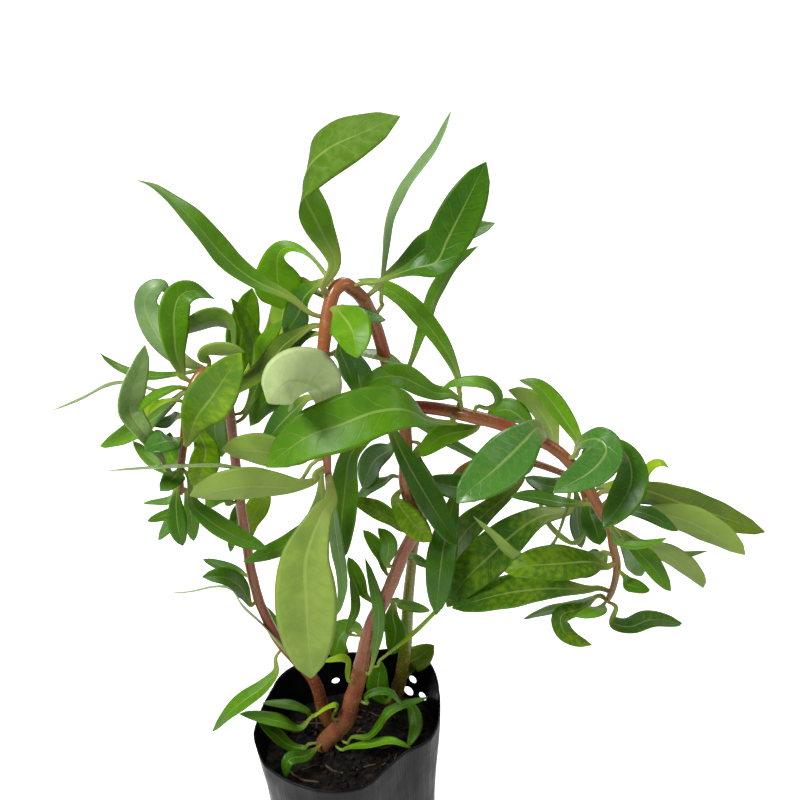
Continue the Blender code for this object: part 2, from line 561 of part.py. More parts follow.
def ring_spots(line, shares, start):
    """Places along a line for rings: one at each bend of STEM_BEND or after STEM_STEP."""
    spots = [at_share(line, shares, start)]
    since = 0.0
    for (a, b), share in zip(zip(line, line[1:]), shares):
        if share <= start:
            continue
        since += (b - a).length
        ahead = (b - a).normalized()
        if since > STEM_STEP or ahead.angle(spots[-1][1]) > STEM_BEND:
            spots.append((a, ahead, share))
            since = 0.0
    spots.append(at_share(line, shares, LINE_END))
    return spots


def stem_body(name, line, shares, thick, extra=0, start=0.0):
    """Tapered tube along a stem's line, thicker than the stem by extra all round."""
    across = Vector((0, 1, 0))
    rings = []
    for point, ahead, share in ring_spots(line, shares, start):
        across = (across - ahead * across.dot(ahead)).normalized()
        other = ahead.cross(across)
        radius = stem_radius(thick, share) + extra
        rings.append(
            [
                point + (across * math.cos(angle) + other * math.sin(angle)) * radius
                for angle in (math.tau * side / STEM_SIDES for side in range(STEM_SIDES))
            ]
        )
    return loft(name, rings)


def leaf_width(share, widest):
    """Share of its full width that a leaf has at a share of its length."""
    swell = math.sin(math.pi * share ** (math.log(0.5) / math.log(widest))) ** 1.25
    return STALK_SHARE + (1 - STALK_SHARE) * swell


def leaf_line(leaf, line, shares, thick, sunk):
    """Fine midrib of a leaf. It starts just off the stem's surface or, if sunk, inside the stem."""
    start = Vector(leaf.route[0])
    index = min(range(len(line)), key=lambda i: (pixel(line[i]) - start).length)
    index = min(max(index, 1), len(line) - 2)
    centre = line[index]
    ahead = (line[index + 1] - line[index - 1]).normalized()
    radius = stem_radius(thick, shares[index])
    route_shares = shares_of([Vector(spot) for spot in leaf.route])
    stem_near = -centre.y / MM
    points = [
        place(*spot, stem_near + along(leaf.near, share))
        for spot, share in zip(leaf.route[1:], route_shares[1:])
    ]
    outward = points[0] - centre
    outward = (outward - ahead * outward.dot(ahead)).normalized()
    bend = centre + outward * (radius + STALK_REACH)
    bend += (points[0] - centre).normalized() * STALK_TURN
    root = centre + outward * (radius * SUNK_SHARE if sunk else radius + GAP)
    return smooth([root, bend, *points])


def leaf_frames(line, roll):
    """Upper side of a leaf at even shares of its midrib: its stalk's follows its blade's."""
    shares = shares_of(line)
    ups, heads = [], []
    for step in range(FRAME_STEPS + 1):
        point, ahead, share = at_share(line, shares, min(step / FRAME_STEPS, LINE_END))
        toward = (EYE - point).normalized()
        flat = toward - ahead * toward.dot(ahead)
        turn = math.radians(along(roll, share))
        ups.append(flat * math.cos(turn) + ahead.cross(flat) * math.sin(turn))
        heads.append(ahead)
    for step in reversed(range(STALK_STEPS)):
        ups[step] = ups[step + 1] - heads[step] * ups[step + 1].dot(heads[step])
    for _ in range(FRAME_SMOOTHING):
        ups = [(a + 2 * b + c) / 4 for a, b, c in zip([ups[0], *ups], ups, [*ups[1:], ups[-1]])]
    return ups


def leaf_body(name, leaf, line, shares):
    """Closed blade with a diamond section along a midrib, folded up a little at its edges."""
    ups = leaf_frames(line, leaf.roll)
    rings = []
    for share in shares:
        point, ahead, _ = at_share(line, shares_of(line), share)
        up = along(ups, share)
        up = (up - ahead * up.dot(ahead)).normalized()
        side = ahead.cross(up)
        half = leaf.wide * MM / 2 * leaf_width(share, leaf.widest)
        thinned = min(1, share / THINNEST_FROM)
        thickness = STALK_THICKNESS + (BLADE_THICKNESS - STALK_THICKNESS) * thinned
        lift = up * half * KEEL
        rings.append(
            [
                point + side * half + lift,
                point + up * thickness / 2,
                point - side * half + lift,
                point - up * thickness / 2,
            ]
        )
    return loft(name, rings, tip=line[-1], creased=True)


def plant():
    planted = []
    for name, stem in STEMS.items():
        line, shares = stem_line(stem)
        start = 0.0
        if stem.planted:
            planted.append((line, shares, stem.thick))
        else:
            start = fork_share(line, shares)
        body = stem_body(name, line, shares, stem.thick, start=start)
        young = []
        for leaf in YOUNG_LEAVES[name]:
            midrib = leaf_line(leaf, line, shares, stem.thick, sunk=True)
            young.append(leaf_body("young_leaf", leaf, midrib, YOUNG_SHARES))
        combine(body, young, "UNION")
        paint(body, stem.colour, 0.4)
        for number, leaf in enumerate(LEAVES[name], 1):
            midrib = leaf_line(leaf, line, shares, stem.thick, sunk=False)
            blade = leaf_body(f"{name}_leaf_{number:02d}", leaf, midrib, LEAF_SHARES)
            paint(blade, LEAF_GREEN, 0.38)
    return planted


def fork_share(line, shares):
    """Share of a side branch's length at which it comes clear of the main cane."""
    main_line, main_shares = stem_line(STEMS["main_cane"])
    main_radius = stem_radius(STEMS["main_cane"].thick, 0.5)
    for point, share in zip(line, shares):
        distance = min((point - other).length for other in main_line)
        if distance > main_radius + GAP:
            return share
    return 0.0


clear_scene()
pot()
soil(plant())
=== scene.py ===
"""Looks of a potted Ludwigia inclinata: fine leaves, stems, soil and film around its solids.

The leaves and stems are placed from the picture. A point of it is given by its pixel and by how
near the viewer it lies, in millimetres in front of the pot's middle. The origin is the middle of
the pot's underside, +Z is up, and the viewer looks along +Y and down.
"""

import json
import math
import random
from collections import namedtuple

import bmesh
import bpy
from mathutils import Euler, Matrix, Vector, noise

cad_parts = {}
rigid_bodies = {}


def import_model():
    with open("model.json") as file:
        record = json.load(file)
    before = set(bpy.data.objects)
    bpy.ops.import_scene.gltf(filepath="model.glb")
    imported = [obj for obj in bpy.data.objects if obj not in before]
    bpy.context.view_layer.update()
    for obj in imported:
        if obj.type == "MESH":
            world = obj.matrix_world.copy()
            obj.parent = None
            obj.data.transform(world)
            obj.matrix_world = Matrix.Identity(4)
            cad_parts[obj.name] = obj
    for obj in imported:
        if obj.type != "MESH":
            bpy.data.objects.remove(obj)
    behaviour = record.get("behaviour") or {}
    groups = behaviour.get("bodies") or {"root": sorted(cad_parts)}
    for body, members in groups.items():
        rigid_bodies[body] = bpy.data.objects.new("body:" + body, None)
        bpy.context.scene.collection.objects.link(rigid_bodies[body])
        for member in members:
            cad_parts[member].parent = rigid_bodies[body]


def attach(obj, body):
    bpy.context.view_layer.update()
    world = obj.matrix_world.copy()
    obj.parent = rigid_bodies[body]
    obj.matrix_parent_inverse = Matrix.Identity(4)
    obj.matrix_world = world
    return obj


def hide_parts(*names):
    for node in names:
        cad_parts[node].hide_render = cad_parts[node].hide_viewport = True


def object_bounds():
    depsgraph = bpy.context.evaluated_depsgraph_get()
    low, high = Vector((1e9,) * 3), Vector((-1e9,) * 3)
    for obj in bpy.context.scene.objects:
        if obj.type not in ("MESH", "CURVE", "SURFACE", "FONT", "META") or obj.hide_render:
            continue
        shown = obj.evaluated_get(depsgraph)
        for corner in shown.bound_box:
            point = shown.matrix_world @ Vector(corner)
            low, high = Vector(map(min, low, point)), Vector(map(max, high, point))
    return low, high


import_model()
cad_box = [list(corner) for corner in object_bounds()]


# The studio: a pale sweep under the pot, a white surround and three soft lamps. The viewer stands
# in front and looks down at the crown, so the pot's foot is at the lower edge of the picture.
MM = 0.001
EYE = Vector((0.0152, -0.2410, 0.3276))
PITCH = math.radians(29.5)
FOCAL_PIXELS = 1000
PICTURE_CENTRE = 400
SENSOR_WIDTH = 36
SWEEP_SIZE = 3.0
SWEEP_WHITE = (0.92, 0.92, 0.92, 1)
SWEEP_GLOW = 0.75
SURROUND_WHITE = (1.0, 1.0, 1.0, 1)
SURROUND_STRENGTH = 0.34
# Each lamp has its place, its width in metres and its power in watts.
LAMPS = {
    "window_left": ((-0.50, -0.45, 1.0), 0.4, 13.5),
    "window_right": ((0.85, -0.25, 0.65), 0.4, 2.0),
    "window_back": ((0.15, 0.75, 0.95), 0.5, 4.0),
}
LAMP_AIM = Vector((0, 0, 0.17))

scene = bpy.context.scene
scene.view_settings.view_transform = "Standard"
viewer = bpy.data.objects.new("viewer", bpy.data.cameras.new("viewer"))
viewer.data.sensor_width = SENSOR_WIDTH
viewer.data.lens = FOCAL_PIXELS * SENSOR_WIDTH / (2 * PICTURE_CENTRE)
viewer.data.clip_start = 0.01
viewer.location = EYE
viewer.rotation_euler = (math.pi / 2 - PITCH, 0, 0)
scene.collection.objects.link(viewer)
scene.camera = viewer

surround = bpy.data.worlds.new("surround")
surround.use_nodes = True
surround.node_tree.nodes["Background"].inputs["Color"].default_value = SURROUND_WHITE
surround.node_tree.nodes["Background"].inputs["Strength"].default_value = SURROUND_STRENGTH
scene.world = surround

for name, (spot, width, power) in LAMPS.items():
    lamp = bpy.data.objects.new(name, bpy.data.lights.new(name, "AREA"))
    lamp.data.shape = "DISK"
    lamp.data.size = width
    lamp.data.energy = power
    lamp.location = spot
    lamp.rotation_euler = (LAMP_AIM - Vector(spot)).to_track_quat("-Z", "Y").to_euler()
    scene.collection.objects.link(lamp)


def new_object(name, bm, finishes):
    """Object from a bmesh, shaded smooth, with its finishes."""
    mesh = bpy.data.meshes.new(name)
    bm.to_mesh(mesh)
    bm.free()
    mesh.polygons.foreach_set("use_smooth", [True] * len(mesh.polygons))
    for finish in finishes:
        mesh.materials.append(finish)
    thing = bpy.data.objects.new(name, mesh)
    scene.collection.objects.link(thing)
    return thing


def new_finish(name):
    """Material with its node tree and its shader."""
    finish = bpy.data.materials.new(name)
    finish.use_nodes = True
    return finish, finish.node_tree, finish.node_tree.nodes["Principled BSDF"]


sweep_finish, tree, shader = new_finish("sweep_paper")
shader.inputs["Base Color"].default_value = SWEEP_WHITE
shader.inputs["Roughness"].default_value = 0.9
shader.inputs["Emission Color"].default_value = SURROUND_WHITE
seen = tree.nodes.new("ShaderNodeLightPath").outputs["Is Camera Ray"]
glow = tree.nodes.new("ShaderNodeMath")
glow.operation = "MULTIPLY"
glow.inputs[1].default_value = SWEEP_GLOW
tree.links.new(seen, glow.inputs[0])
tree.links.new(glow.outputs[0], shader.inputs["Emission Strength"])
bm = bmesh.new()
bmesh.ops.create_grid(bm, x_segments=1, y_segments=1, size=SWEEP_SIZE)
sweep = new_object("sweep", bm, [sweep_finish])


# The pot is a soft nursery pot blown from thin black film. Its mouth is pushed out of round, its
# wall is creased down its length, and four round holes are punched near its rim.
POT_HEIGHT = 70 * MM
POT_FILM = 0.45 * MM
BASE_RADIUS = 27 * MM
MOUTH_CENTRE = Vector((-2 * MM, 0, 0))
MOUTH_RADII_MM = (
    30.6, 33.3, 37.0, 35.0, 30.3, 29.6, 30.0, 30.6, 29.9,
    30.6, 32.4, 33.7, 33.2, 32.0, 30.5, 26.3, 25.6, 29.5,
)
CRUMPLE = 0.35 * MM
CRUMPLE_WAVES, CRUMPLE_LEAN = 5, 9
CREASE = 0.5 * MM
CREASE_SCALE, CREASE_SCALE_UP = 3, 1.6
FINE_CREASE = 0.35
FINE_SCALE, FINE_SCALE_UP = 11, 3
CREASE_FADE = 6
POT_RINGS = 56
POT_POINTS = 216
FOOT_ROUNDING = 1.2 * MM
HOLE_SIDES = 24
# Punched holes: bearing in degrees, drop below the rim and radius in millimetres
POT_HOLES = ((50, 10.5, 1.6), (52, 16.3, 2.0), (42, 15.7, 1.75), (103, 12.7, 1.5))


def node(tree, kind, values=(), **settings):
    """Adds a node, applies its settings, and sets or links its inputs in order."""
    made = tree.nodes.new(kind)
    for key, value in settings.items():
        setattr(made, key, value)
    for socket, value in zip(made.inputs, values):
        if isinstance(value, bpy.types.NodeSocket):
            tree.links.new(value, socket)
        elif value is not None:
            socket.default_value = value
    return made


def math_node(tree, operation, *values):
    return node(tree, "ShaderNodeMath", values, operation=operation).outputs[0]


def times(tree, *values):
    return math_node(tree, "MULTIPLY", *values)


def ramp(tree, value, low, high, low_out=0.0, high_out=1.0):
    """Smooth step of a value from low to high."""
    values = (value, low, high, low_out, high_out)
    made = node(tree, "ShaderNodeMapRange", values, interpolation_type="SMOOTHSTEP")
    return made.outputs[0]


def blend(tree, share, first, second):
    """Mix of two colours."""
    made = tree.nodes.new("ShaderNodeMix")
    made.data_type = "RGBA"
    for socket, value in zip((made.inputs[0], made.inputs[6], made.inputs[7]), (share, first, second)):
        if isinstance(value, bpy.types.NodeSocket):
            tree.links.new(value, socket)
        else:
            socket.default_value = value
    return made.outputs[2]


def speckle(tree, scale, detail=3.0, vector=None):
    """Noise from 0 to 1 in the object's own space, or along a vector."""
    if vector is None:
        vector = node(tree, "ShaderNodeTexCoord").outputs["Object"]
    made = node(tree, "ShaderNodeTexNoise")
    tree.links.new(vector, made.inputs["Vector"])
    made.inputs["Scale"].default_value = scale
    made.inputs["Detail"].default_value = detail
    return made.outputs[0]


def relief(tree, shader, height, distance, strength=1.0):
    """Bump from a height, on the shader's normal."""
    bump = tree.nodes.new("ShaderNodeBump")
    bump.inputs["Strength"].default_value = strength
    bump.inputs["Distance"].default_value = distance
    tree.links.new(height, bump.inputs["Height"])
    tree.links.new(bump.outputs["Normal"], shader.inputs["Normal"])


def around_and_along(tree):
    """The two shares of a skin's own map: round its section and along its length."""
    made = node(tree, "ShaderNodeSeparateXYZ", (node(tree, "ShaderNodeUVMap", uv_map="skin").outputs[0],))
    return made.outputs[0], made.outputs[1]


def add_skin(bm, rings, index=0):
    """Adds a closed skin over rings of points: a grid is wrapped round them, and its map kept."""
    around, along_count = len(rings[0]), len(rings) - 1
    if not bm.loops.layers.uv:
        bm.loops.layers.uv.new("skin")
    made = bmesh.ops.create_grid(
        bm, x_segments=around, y_segments=along_count, size=0.5, calc_uvs=True
    )
    verts = made["verts"]
    faces = {face for vert in verts for face in vert.link_faces}
    for face in faces:
        face.material_index = index
    for vert in verts:
        column = round((vert.co.x + 0.5) * around)
        row = round((vert.co.y + 0.5) * along_count)
        vert.co = rings[row][column % around]
    bmesh.ops.remove_doubles(bm, verts=verts, dist=1e-6)


def along(values, share):
    """Value at a share of the way through evenly spaced values."""
    step = min(max(share, 0.0), 1.0) * (len(values) - 1)
    index = min(int(step), len(values) - 2)
    return values[index] + (values[index + 1] - values[index]) * (step - index)


def eased(values, share):
    """Value at a share of the way round a ring of values, with rounded corners between them."""
    step = share % 1 * len(values)
    index = int(step)
    t = step - index
    a, b, c, d = (values[(index + k - 1) % len(values)] for k in range(4))
    return b + 0.5 * t * (c - a + t * (2 * a - 5 * b + 4 * c - d + t * (3 * b - a - 3 * c + d)))


def film_point(angle, level, inset):
    """Point of the pot's film at a bearing and a share of its height."""
    mouth = along((*MOUTH_RADII_MM, MOUTH_RADII_MM[0]), angle / math.tau % 1) * MM
    soft = min(mouth, eased(MOUTH_RADII_MM, angle / math.tau) * MM)
    outward = Vector((math.cos(angle), math.sin(angle), 0))
    radius = BASE_RADIUS + (soft - BASE_RADIUS) * level
    radius += CRUMPLE * math.sin(CRUMPLE_WAVES * angle + CRUMPLE_LEAN * level) * level
    crease = noise.noise(outward * CREASE_SCALE + Vector((0, 0, level * CREASE_SCALE_UP)))
    fine = noise.noise(outward * FINE_SCALE + Vector((0, 0, level * FINE_SCALE_UP)))
    dent = (abs(crease) + FINE_CREASE * abs(fine)) * CREASE * min(1, CREASE_FADE * level)
    return MOUTH_CENTRE * level + outward * (radius - dent - inset) + Vector((0, 0, level * POT_HEIGHT))


def within(point):
    """The point, moved no further out than the solids reach."""
    return Vector(min(max(c, low), high) for c, low, high in zip(point, *cad_box))


def film_ring(level, inset):
    return [within(film_point(math.tau * step / POT_POINTS, level, inset)) for step in range(POT_POINTS)]


def flat_ring(radius, height):
    turns = [math.tau * step / POT_POINTS for step in range(POT_POINTS)]
    return [Vector((math.cos(turn) * radius, math.sin(turn) * radius, height)) for turn in turns]


levels = [step / POT_RINGS for step in range(POT_RINGS + 1)]
floor_level = FOOT_ROUNDING / POT_HEIGHT
rings = [flat_ring(share * (BASE_RADIUS - FOOT_ROUNDING), 0) for share in (0, 0.3, 0.6, 0.85, 1)]
for turn in (0.3, 0.6, 0.9):
    rounding = FOOT_ROUNDING * (1 - math.sin(turn * math.pi / 2))
    rings.append(film_ring(floor_level * (1 - math.cos(turn * math.pi / 2)), rounding))
rings += [film_ring(level, 0) for level in levels if level > floor_level]
rings.append(film_ring(1, POT_FILM * 0.5))
rings += [film_ring(level, POT_FILM) for level in reversed(levels) if level > 2 * floor_level]
rings += [flat_ring(share * (BASE_RADIUS - 2 * FOOT_ROUNDING), POT_FILM) for share in (1, 0.6, 0.3, 0)]
bm = bmesh.new()
add_skin(bm, rings)

film, tree, shader = new_finish("black_film")
u, v = around_and_along(tree)
stripes = node(tree, "ShaderNodeCombineXYZ", (times(tree, u, 60.0), v, 0.0)).outputs[0]
drawn = speckle(tree, 3.0, 4.0, stripes)
dust = speckle(tree, 140.0, 5.0)
# The film is a little paler in faint streaks down its length, broken up by a fine speckle.
paler_streaks = times(tree, ramp(tree, drawn, 0.45, 0.75), ramp(tree, dust, 0.35, 0.7))
colour = blend(tree, paler_streaks, (0.002, 0.002, 0.0023, 1), (0.007, 0.0067, 0.0065, 1))
tree.links.new(colour, shader.inputs["Base Color"])
tree.links.new(ramp(tree, dust, 0.3, 0.8, 0.26, 0.5), shader.inputs["Roughness"])
shader.inputs["Specular IOR Level"].default_value = 0.16
height = math_node(tree, "ADD", drawn, times(tree, dust, 0.35))
relief(tree, shader, height, 0.25 * MM, 0.6)

pot = new_object("pot_film", bm, [film])
for bearing, drop, radius in POT_HOLES:
    angle = math.radians(bearing)
    outward = Vector((math.cos(angle), math.sin(angle), 0))
    centre = film_point(angle, 1, 0)
    centre.z = POT_HEIGHT - drop * MM
    cutter = bmesh.new()
    bmesh.ops.create_cone(
        cutter, cap_ends=True, segments=HOLE_SIDES, radius1=radius * MM, radius2=radius * MM,
        depth=12 * MM,
        matrix=Matrix.Translation(centre) @ outward.to_track_quat("Z", "Y").to_matrix().to_4x4(),
    )
    punch = new_object("punch", cutter, [])
    change = pot.modifiers.new("punch", "BOOLEAN")
    change.operation = "DIFFERENCE"
    change.solver = "MANIFOLD"
    change.object = punch
punched = bpy.data.meshes.new_from_object(pot.evaluated_get(bpy.context.evaluated_depsgraph_get()))
pot.modifiers.clear()
pot.data = punched
for punch in [thing for thing in scene.objects if thing.name.startswith("punch")]:
    bpy.data.objects.remove(punch)
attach(pot, "root")
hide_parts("pot")


# The soil is dark, moist potting soil, heaped a little towards the front. Crumbs of bark and peat
# lie loose on it, with dead roots and straw between them.
SOIL_DROP = 16.5 * MM
SOIL_BACK_FALL = 0.10
# Lumps, crumbs and grains of the surface: how many to a metre, and how high they stand
SOIL_GRAINS = ((150, 1.3 * MM), (520, 0.5 * MM), (1300, 0.22 * MM))
SOIL_SINK = 0.3 * MM
SOIL_POINTS = 200
SOIL_RINGS = 70
SOIL_DARK = (0.003, 0.002, 0.0015, 1)
SOIL_BROWN = (0.014, 0.0085, 0.005, 1)
CRUMB_COUNT = 620
CRUMB_RADII = (0.35 * MM, 1.5 * MM)
LARGE_CRUMB = 0.9 * MM
CRUMB_SUNK = 0.3
CRUMB_DENTS, DENTS_PER_METRE = 0.7, 900
STRAW_COUNT = 26
STRAW_LENGTHS = (5 * MM, 15 * MM)
STRAW_RADII_MM = (0.14, 0.4)
STRAW_BEND = 1.4
STRAW_STEPS, STRAW_SIDES = 9, 6
STRAW_REACH = 24 * MM
STRAW_LIFT = 0.45 * MM
STRAW_COLOUR = (0.10, 0.055, 0.02, 1)

draw = random.Random(7)


def soil_height(point):
    """Height of the soil's lumpy surface, which falls towards the back."""
    rough = sum(noise.noise(point * per_metre) * size for per_metre, size in SOIL_GRAINS)
    return POT_HEIGHT - SOIL_DROP - point.y * SOIL_BACK_FALL + rough - SOIL_SINK


shore_level = (POT_HEIGHT - SOIL_DROP) / POT_HEIGHT
turns = [math.tau * step / SOIL_POINTS for step in range(SOIL_POINTS)]
shore = [film_point(turn, shore_level, POT_FILM * 1.2) for turn in turns]
rings = [[Vector((0, 0, POT_FILM * 1.5))] * SOIL_POINTS]
for level in (0.03, 0.3, 0.6):
    rings.append([film_point(turn, level, POT_FILM * 1.6) for turn in turns])
for step in range(SOIL_RINGS + 1):
    share = 1 - step / SOIL_RINGS
    ring = []
    for point in shore:
        spot = Vector((point.x * share, point.y * share, 0))
        ring.append(Vector((spot.x, spot.y, soil_height(spot))))
    rings.append(ring)
bm = bmesh.new()
add_skin(bm, rings)

earth, tree, shader = new_finish("moist_soil")
grain = speckle(tree, 420.0, 6.0)
patch = speckle(tree, 70.0, 2.0)
colour = blend(tree, ramp(tree, grain, 0.42, 0.72), SOIL_DARK, SOIL_BROWN)
colour = blend(tree, ramp(tree, patch, 0.5, 0.8, 0.0, 0.6), colour, SOIL_DARK)
tree.links.new(colour, shader.inputs["Base Color"])
tree.links.new(ramp(tree, grain, 0.3, 0.8, 0.95, 0.6), shader.inputs["Roughness"])
shader.inputs["Specular IOR Level"].default_value = 0.2
relief(tree, shader, grain, 0.6 * MM)

soil = new_object("soil_bed", bm, [earth])
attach(soil, "root")
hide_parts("soil")


def soil_spot():
    """A random spot on the soil, not too near the film."""
    turn, reach = draw.random() * math.tau, math.sqrt(draw.random()) * 0.9
    edge = film_point(turn, shore_level, 2.4 * MM)
    return Vector((edge.x * reach, edge.y * reach, 0))


bm = bmesh.new()
for _ in range(CRUMB_COUNT):
    radius = CRUMB_RADII[0] + (CRUMB_RADII[1] - CRUMB_RADII[0]) * draw.random() ** 3
    spot = soil_spot()
    spot.z = soil_height(spot) + radius * CRUMB_SUNK
    turn = Euler([draw.random() * math.tau for _ in range(3)]).to_matrix().to_4x4()
    flat = Matrix.Diagonal((1, 0.5 + 0.5 * draw.random(), 0.4 + 0.5 * draw.random(), 1))
    crumb = bmesh.ops.create_icosphere(
        bm, subdivisions=2 if radius > LARGE_CRUMB else 1, radius=radius,
        matrix=Matrix.Translation(spot) @ turn @ flat,
    )
    for vert in crumb["verts"]:
        vert.co += (vert.co - spot) * noise.noise(vert.co * DENTS_PER_METRE) * CRUMB_DENTS
crumbs = new_object("soil_crumbs", bm, [earth])
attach(crumbs, "root")

straw, tree, shader = new_finish("dead_straw")
fibre = speckle(tree, 300.0, 4.0)
colour = blend(tree, ramp(tree, fibre, 0.35, 0.7), (0.05, 0.024, 0.01, 1), STRAW_COLOUR)
tree.links.new(colour, shader.inputs["Base Color"])
tree.links.new(ramp(tree, fibre, 0.3, 0.8, 0.7, 0.9), shader.inputs["Roughness"])
relief(tree, shader, fibre, 0.2 * MM)


def tube_rings(points, radii, sides):
    """Rings round a line of points, kept from twisting, and closed to a point at both ends."""
    across = Vector((0, 1, 0))
    rings = [[points[0]] * sides]
    for index, (point, radius) in enumerate(zip(points, radii)):
        ahead = points[min(index + 1, len(points) - 1)] - points[max(index - 1, 0)]
        ahead.normalize()
        across = (across - ahead * across.dot(ahead)).normalized()
        other = ahead.cross(across)
        turns = [math.tau * side / sides for side in range(sides)]
        rings.append([point + (across * math.cos(a) + other * math.sin(a)) * radius for a in turns])
    rings.append([points[-1]] * sides)
    return rings


bm = bmesh.new()
for _ in range(STRAW_COUNT):
    heading, bend = draw.random() * math.tau, draw.uniform(-STRAW_BEND, STRAW_BEND)
    length = draw.uniform(*STRAW_LENGTHS)
    spot = soil_spot() * 0.85
    points = []
    for step in range(STRAW_STEPS):
        spot = spot + Vector((math.cos(heading), math.sin(heading), 0)) * length / STRAW_STEPS
        heading += bend / STRAW_STEPS
        spot.z = 0
        if (spot - MOUTH_CENTRE * shore_level).length > STRAW_REACH:
            break
        points.append(Vector((spot.x, spot.y, soil_height(spot) + STRAW_LIFT)))
    if len(points) > 3:
        thick = draw.uniform(*STRAW_RADII_MM) * MM
        add_skin(bm, tube_rings(points, [thick] * len(points), STRAW_SIDES))
straws = new_object("soil_straws", bm, [straw])
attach(straws, "root")


# The stems are round and watery, reddish brown where the sun reaches them and greener towards their
# young ends and in the shade. They are cuttings pushed into the soil, a little swollen and paler
# at each joint where leaves stand.
ROOT_DEPTH = 9 * MM
STEM_SIDES = 20
JOINT_SWELL = 0.06
JOINT_REACH = 1.6 * MM
JOINT_NEAR = 4 * MM
END_ROUNDING = 2.5
END_LEAST = 0.05
STEM_PALE = (0.30, 0.11, 0.04, 1)
STEM_DEEP = (0.12, 0.022, 0.009, 1)
STEM_FLECK = (0.36, 0.18, 0.07, 1)
STEM_JOINT = (0.25, 0.14, 0.035, 1)

Leaf = namedtuple("Leaf", "route near wide roll look widest", defaults=(0.6,))
Stem = namedtuple("Stem", "route near thick planted shades slot")

# Each stem has its route in the picture, its nearness at evenly spaced points, its thickness in
# millimetres and its colours from its foot to its end.
STEMS = {
    "main_cane": Stem(
        route=[
            (325, 743), (345, 722), (352, 700), (358, 680), (367, 640), (373, 620), (384, 600),
            (395, 575), (402, 556), (410, 540), (419, 522), (410, 503), (405, 480), (406, 455),
            (405, 428), (401, 408), (393, 390), (388, 368), (383, 350), (377, 330), (370, 312),
            (362, 298), (350, 287), (343, 284), (335, 290), (331, 300), (327, 318), (325, 335),
            (322, 365), (321, 412), (326, 445), (328, 478),
        ],
        near=(-0.8, 3, 6, 8, 9.5, 10.5, 12, 15, 25, 32, 34, 33),
        thick=(6.2, 6.0, 5.2, 4.4, 3.9, 3.6, 3.5, 3.4, 3.3, 3.2, 2.8, 1.8),
        planted=True,
        shades=((0.19, 0.052, 0.040), (0.25, 0.055, 0.032), (0.29, 0.065, 0.027), (0.27, 0.042, 0.018)),
        slot="red_stem",
    ),
    "right_shoot": Stem(
        route=[
            (401, 409), (412, 407), (430, 408), (450, 411), (470, 416), (500, 424), (530, 437),
            (545, 443), (560, 453), (570, 463), (585, 480), (592, 495), (600, 510), (610, 528),
            (613, 547), (617, 566), (613, 588), (606, 603),
        ],
        near=(11, 17, 21, 23, 25, 26, 27, 27, 26, 24),
        thick=(3.5, 3.5, 3.4, 3.3, 3.0, 2.8, 2.6, 2.3, 2.0, 1.6),
        planted=False,
        shades=((0.22, 0.035, 0.014), (0.25, 0.045, 0.017), (0.24, 0.055, 0.02), (0.20, 0.12, 0.03)),
        slot="red_stem",
    ),
    "second_cane": Stem(
        route=[
            (395, 702), (402, 670), (406, 640), (408, 600), (411, 570), (414, 545), (422, 520),
            (433, 500), (450, 483), (463, 469), (480, 461), (500, 458), (530, 462), (562, 473),
            (575, 480), (583, 492), (586, 506),
        ],
        near=(-19.5, -17, -15, -14, -13.5, -12, -9, -4, 3, 10),
        thick=(4.6, 4.6, 4.4, 4.0, 3.4, 3.0, 2.7, 2.4, 2.1, 1.6),
        planted=True,
        shades=((0.09, 0.03, 0.012), (0.12, 0.20, 0.01), (0.25, 0.10, 0.02), (0.24, 0.06, 0.016)),
        slot="green_stem",
    ),
    "left_cane": Stem(
        route=[
            (336, 731), (325, 715), (318, 690), (311, 676), (297, 661), (285, 648), (275, 635),
            (262, 608), (257, 594), (250, 565), (247, 545), (240, 500), (233, 440), (230, 415),
            (226, 395), (216, 376), (207, 371), (197, 378), (190, 395), (186, 418), (184, 440),
            (182, 458), (180, 478), (182, 495),
        ],
        near=(-6.1, -4, -2, 1.5, 5, 8, 11, 14, 21, 27, 28.5, 28),
        thick=(5.0, 4.8, 4.0, 3.4, 3.1, 3.0, 2.9, 2.8, 2.7, 2.5, 2.2, 1.6),
        planted=True,
        shades=((0.14, 0.042, 0.022), (0.22, 0.05, 0.022), (0.27, 0.05, 0.022), (0.25, 0.038, 0.014)),
        slot="red_stem",
    ),
}

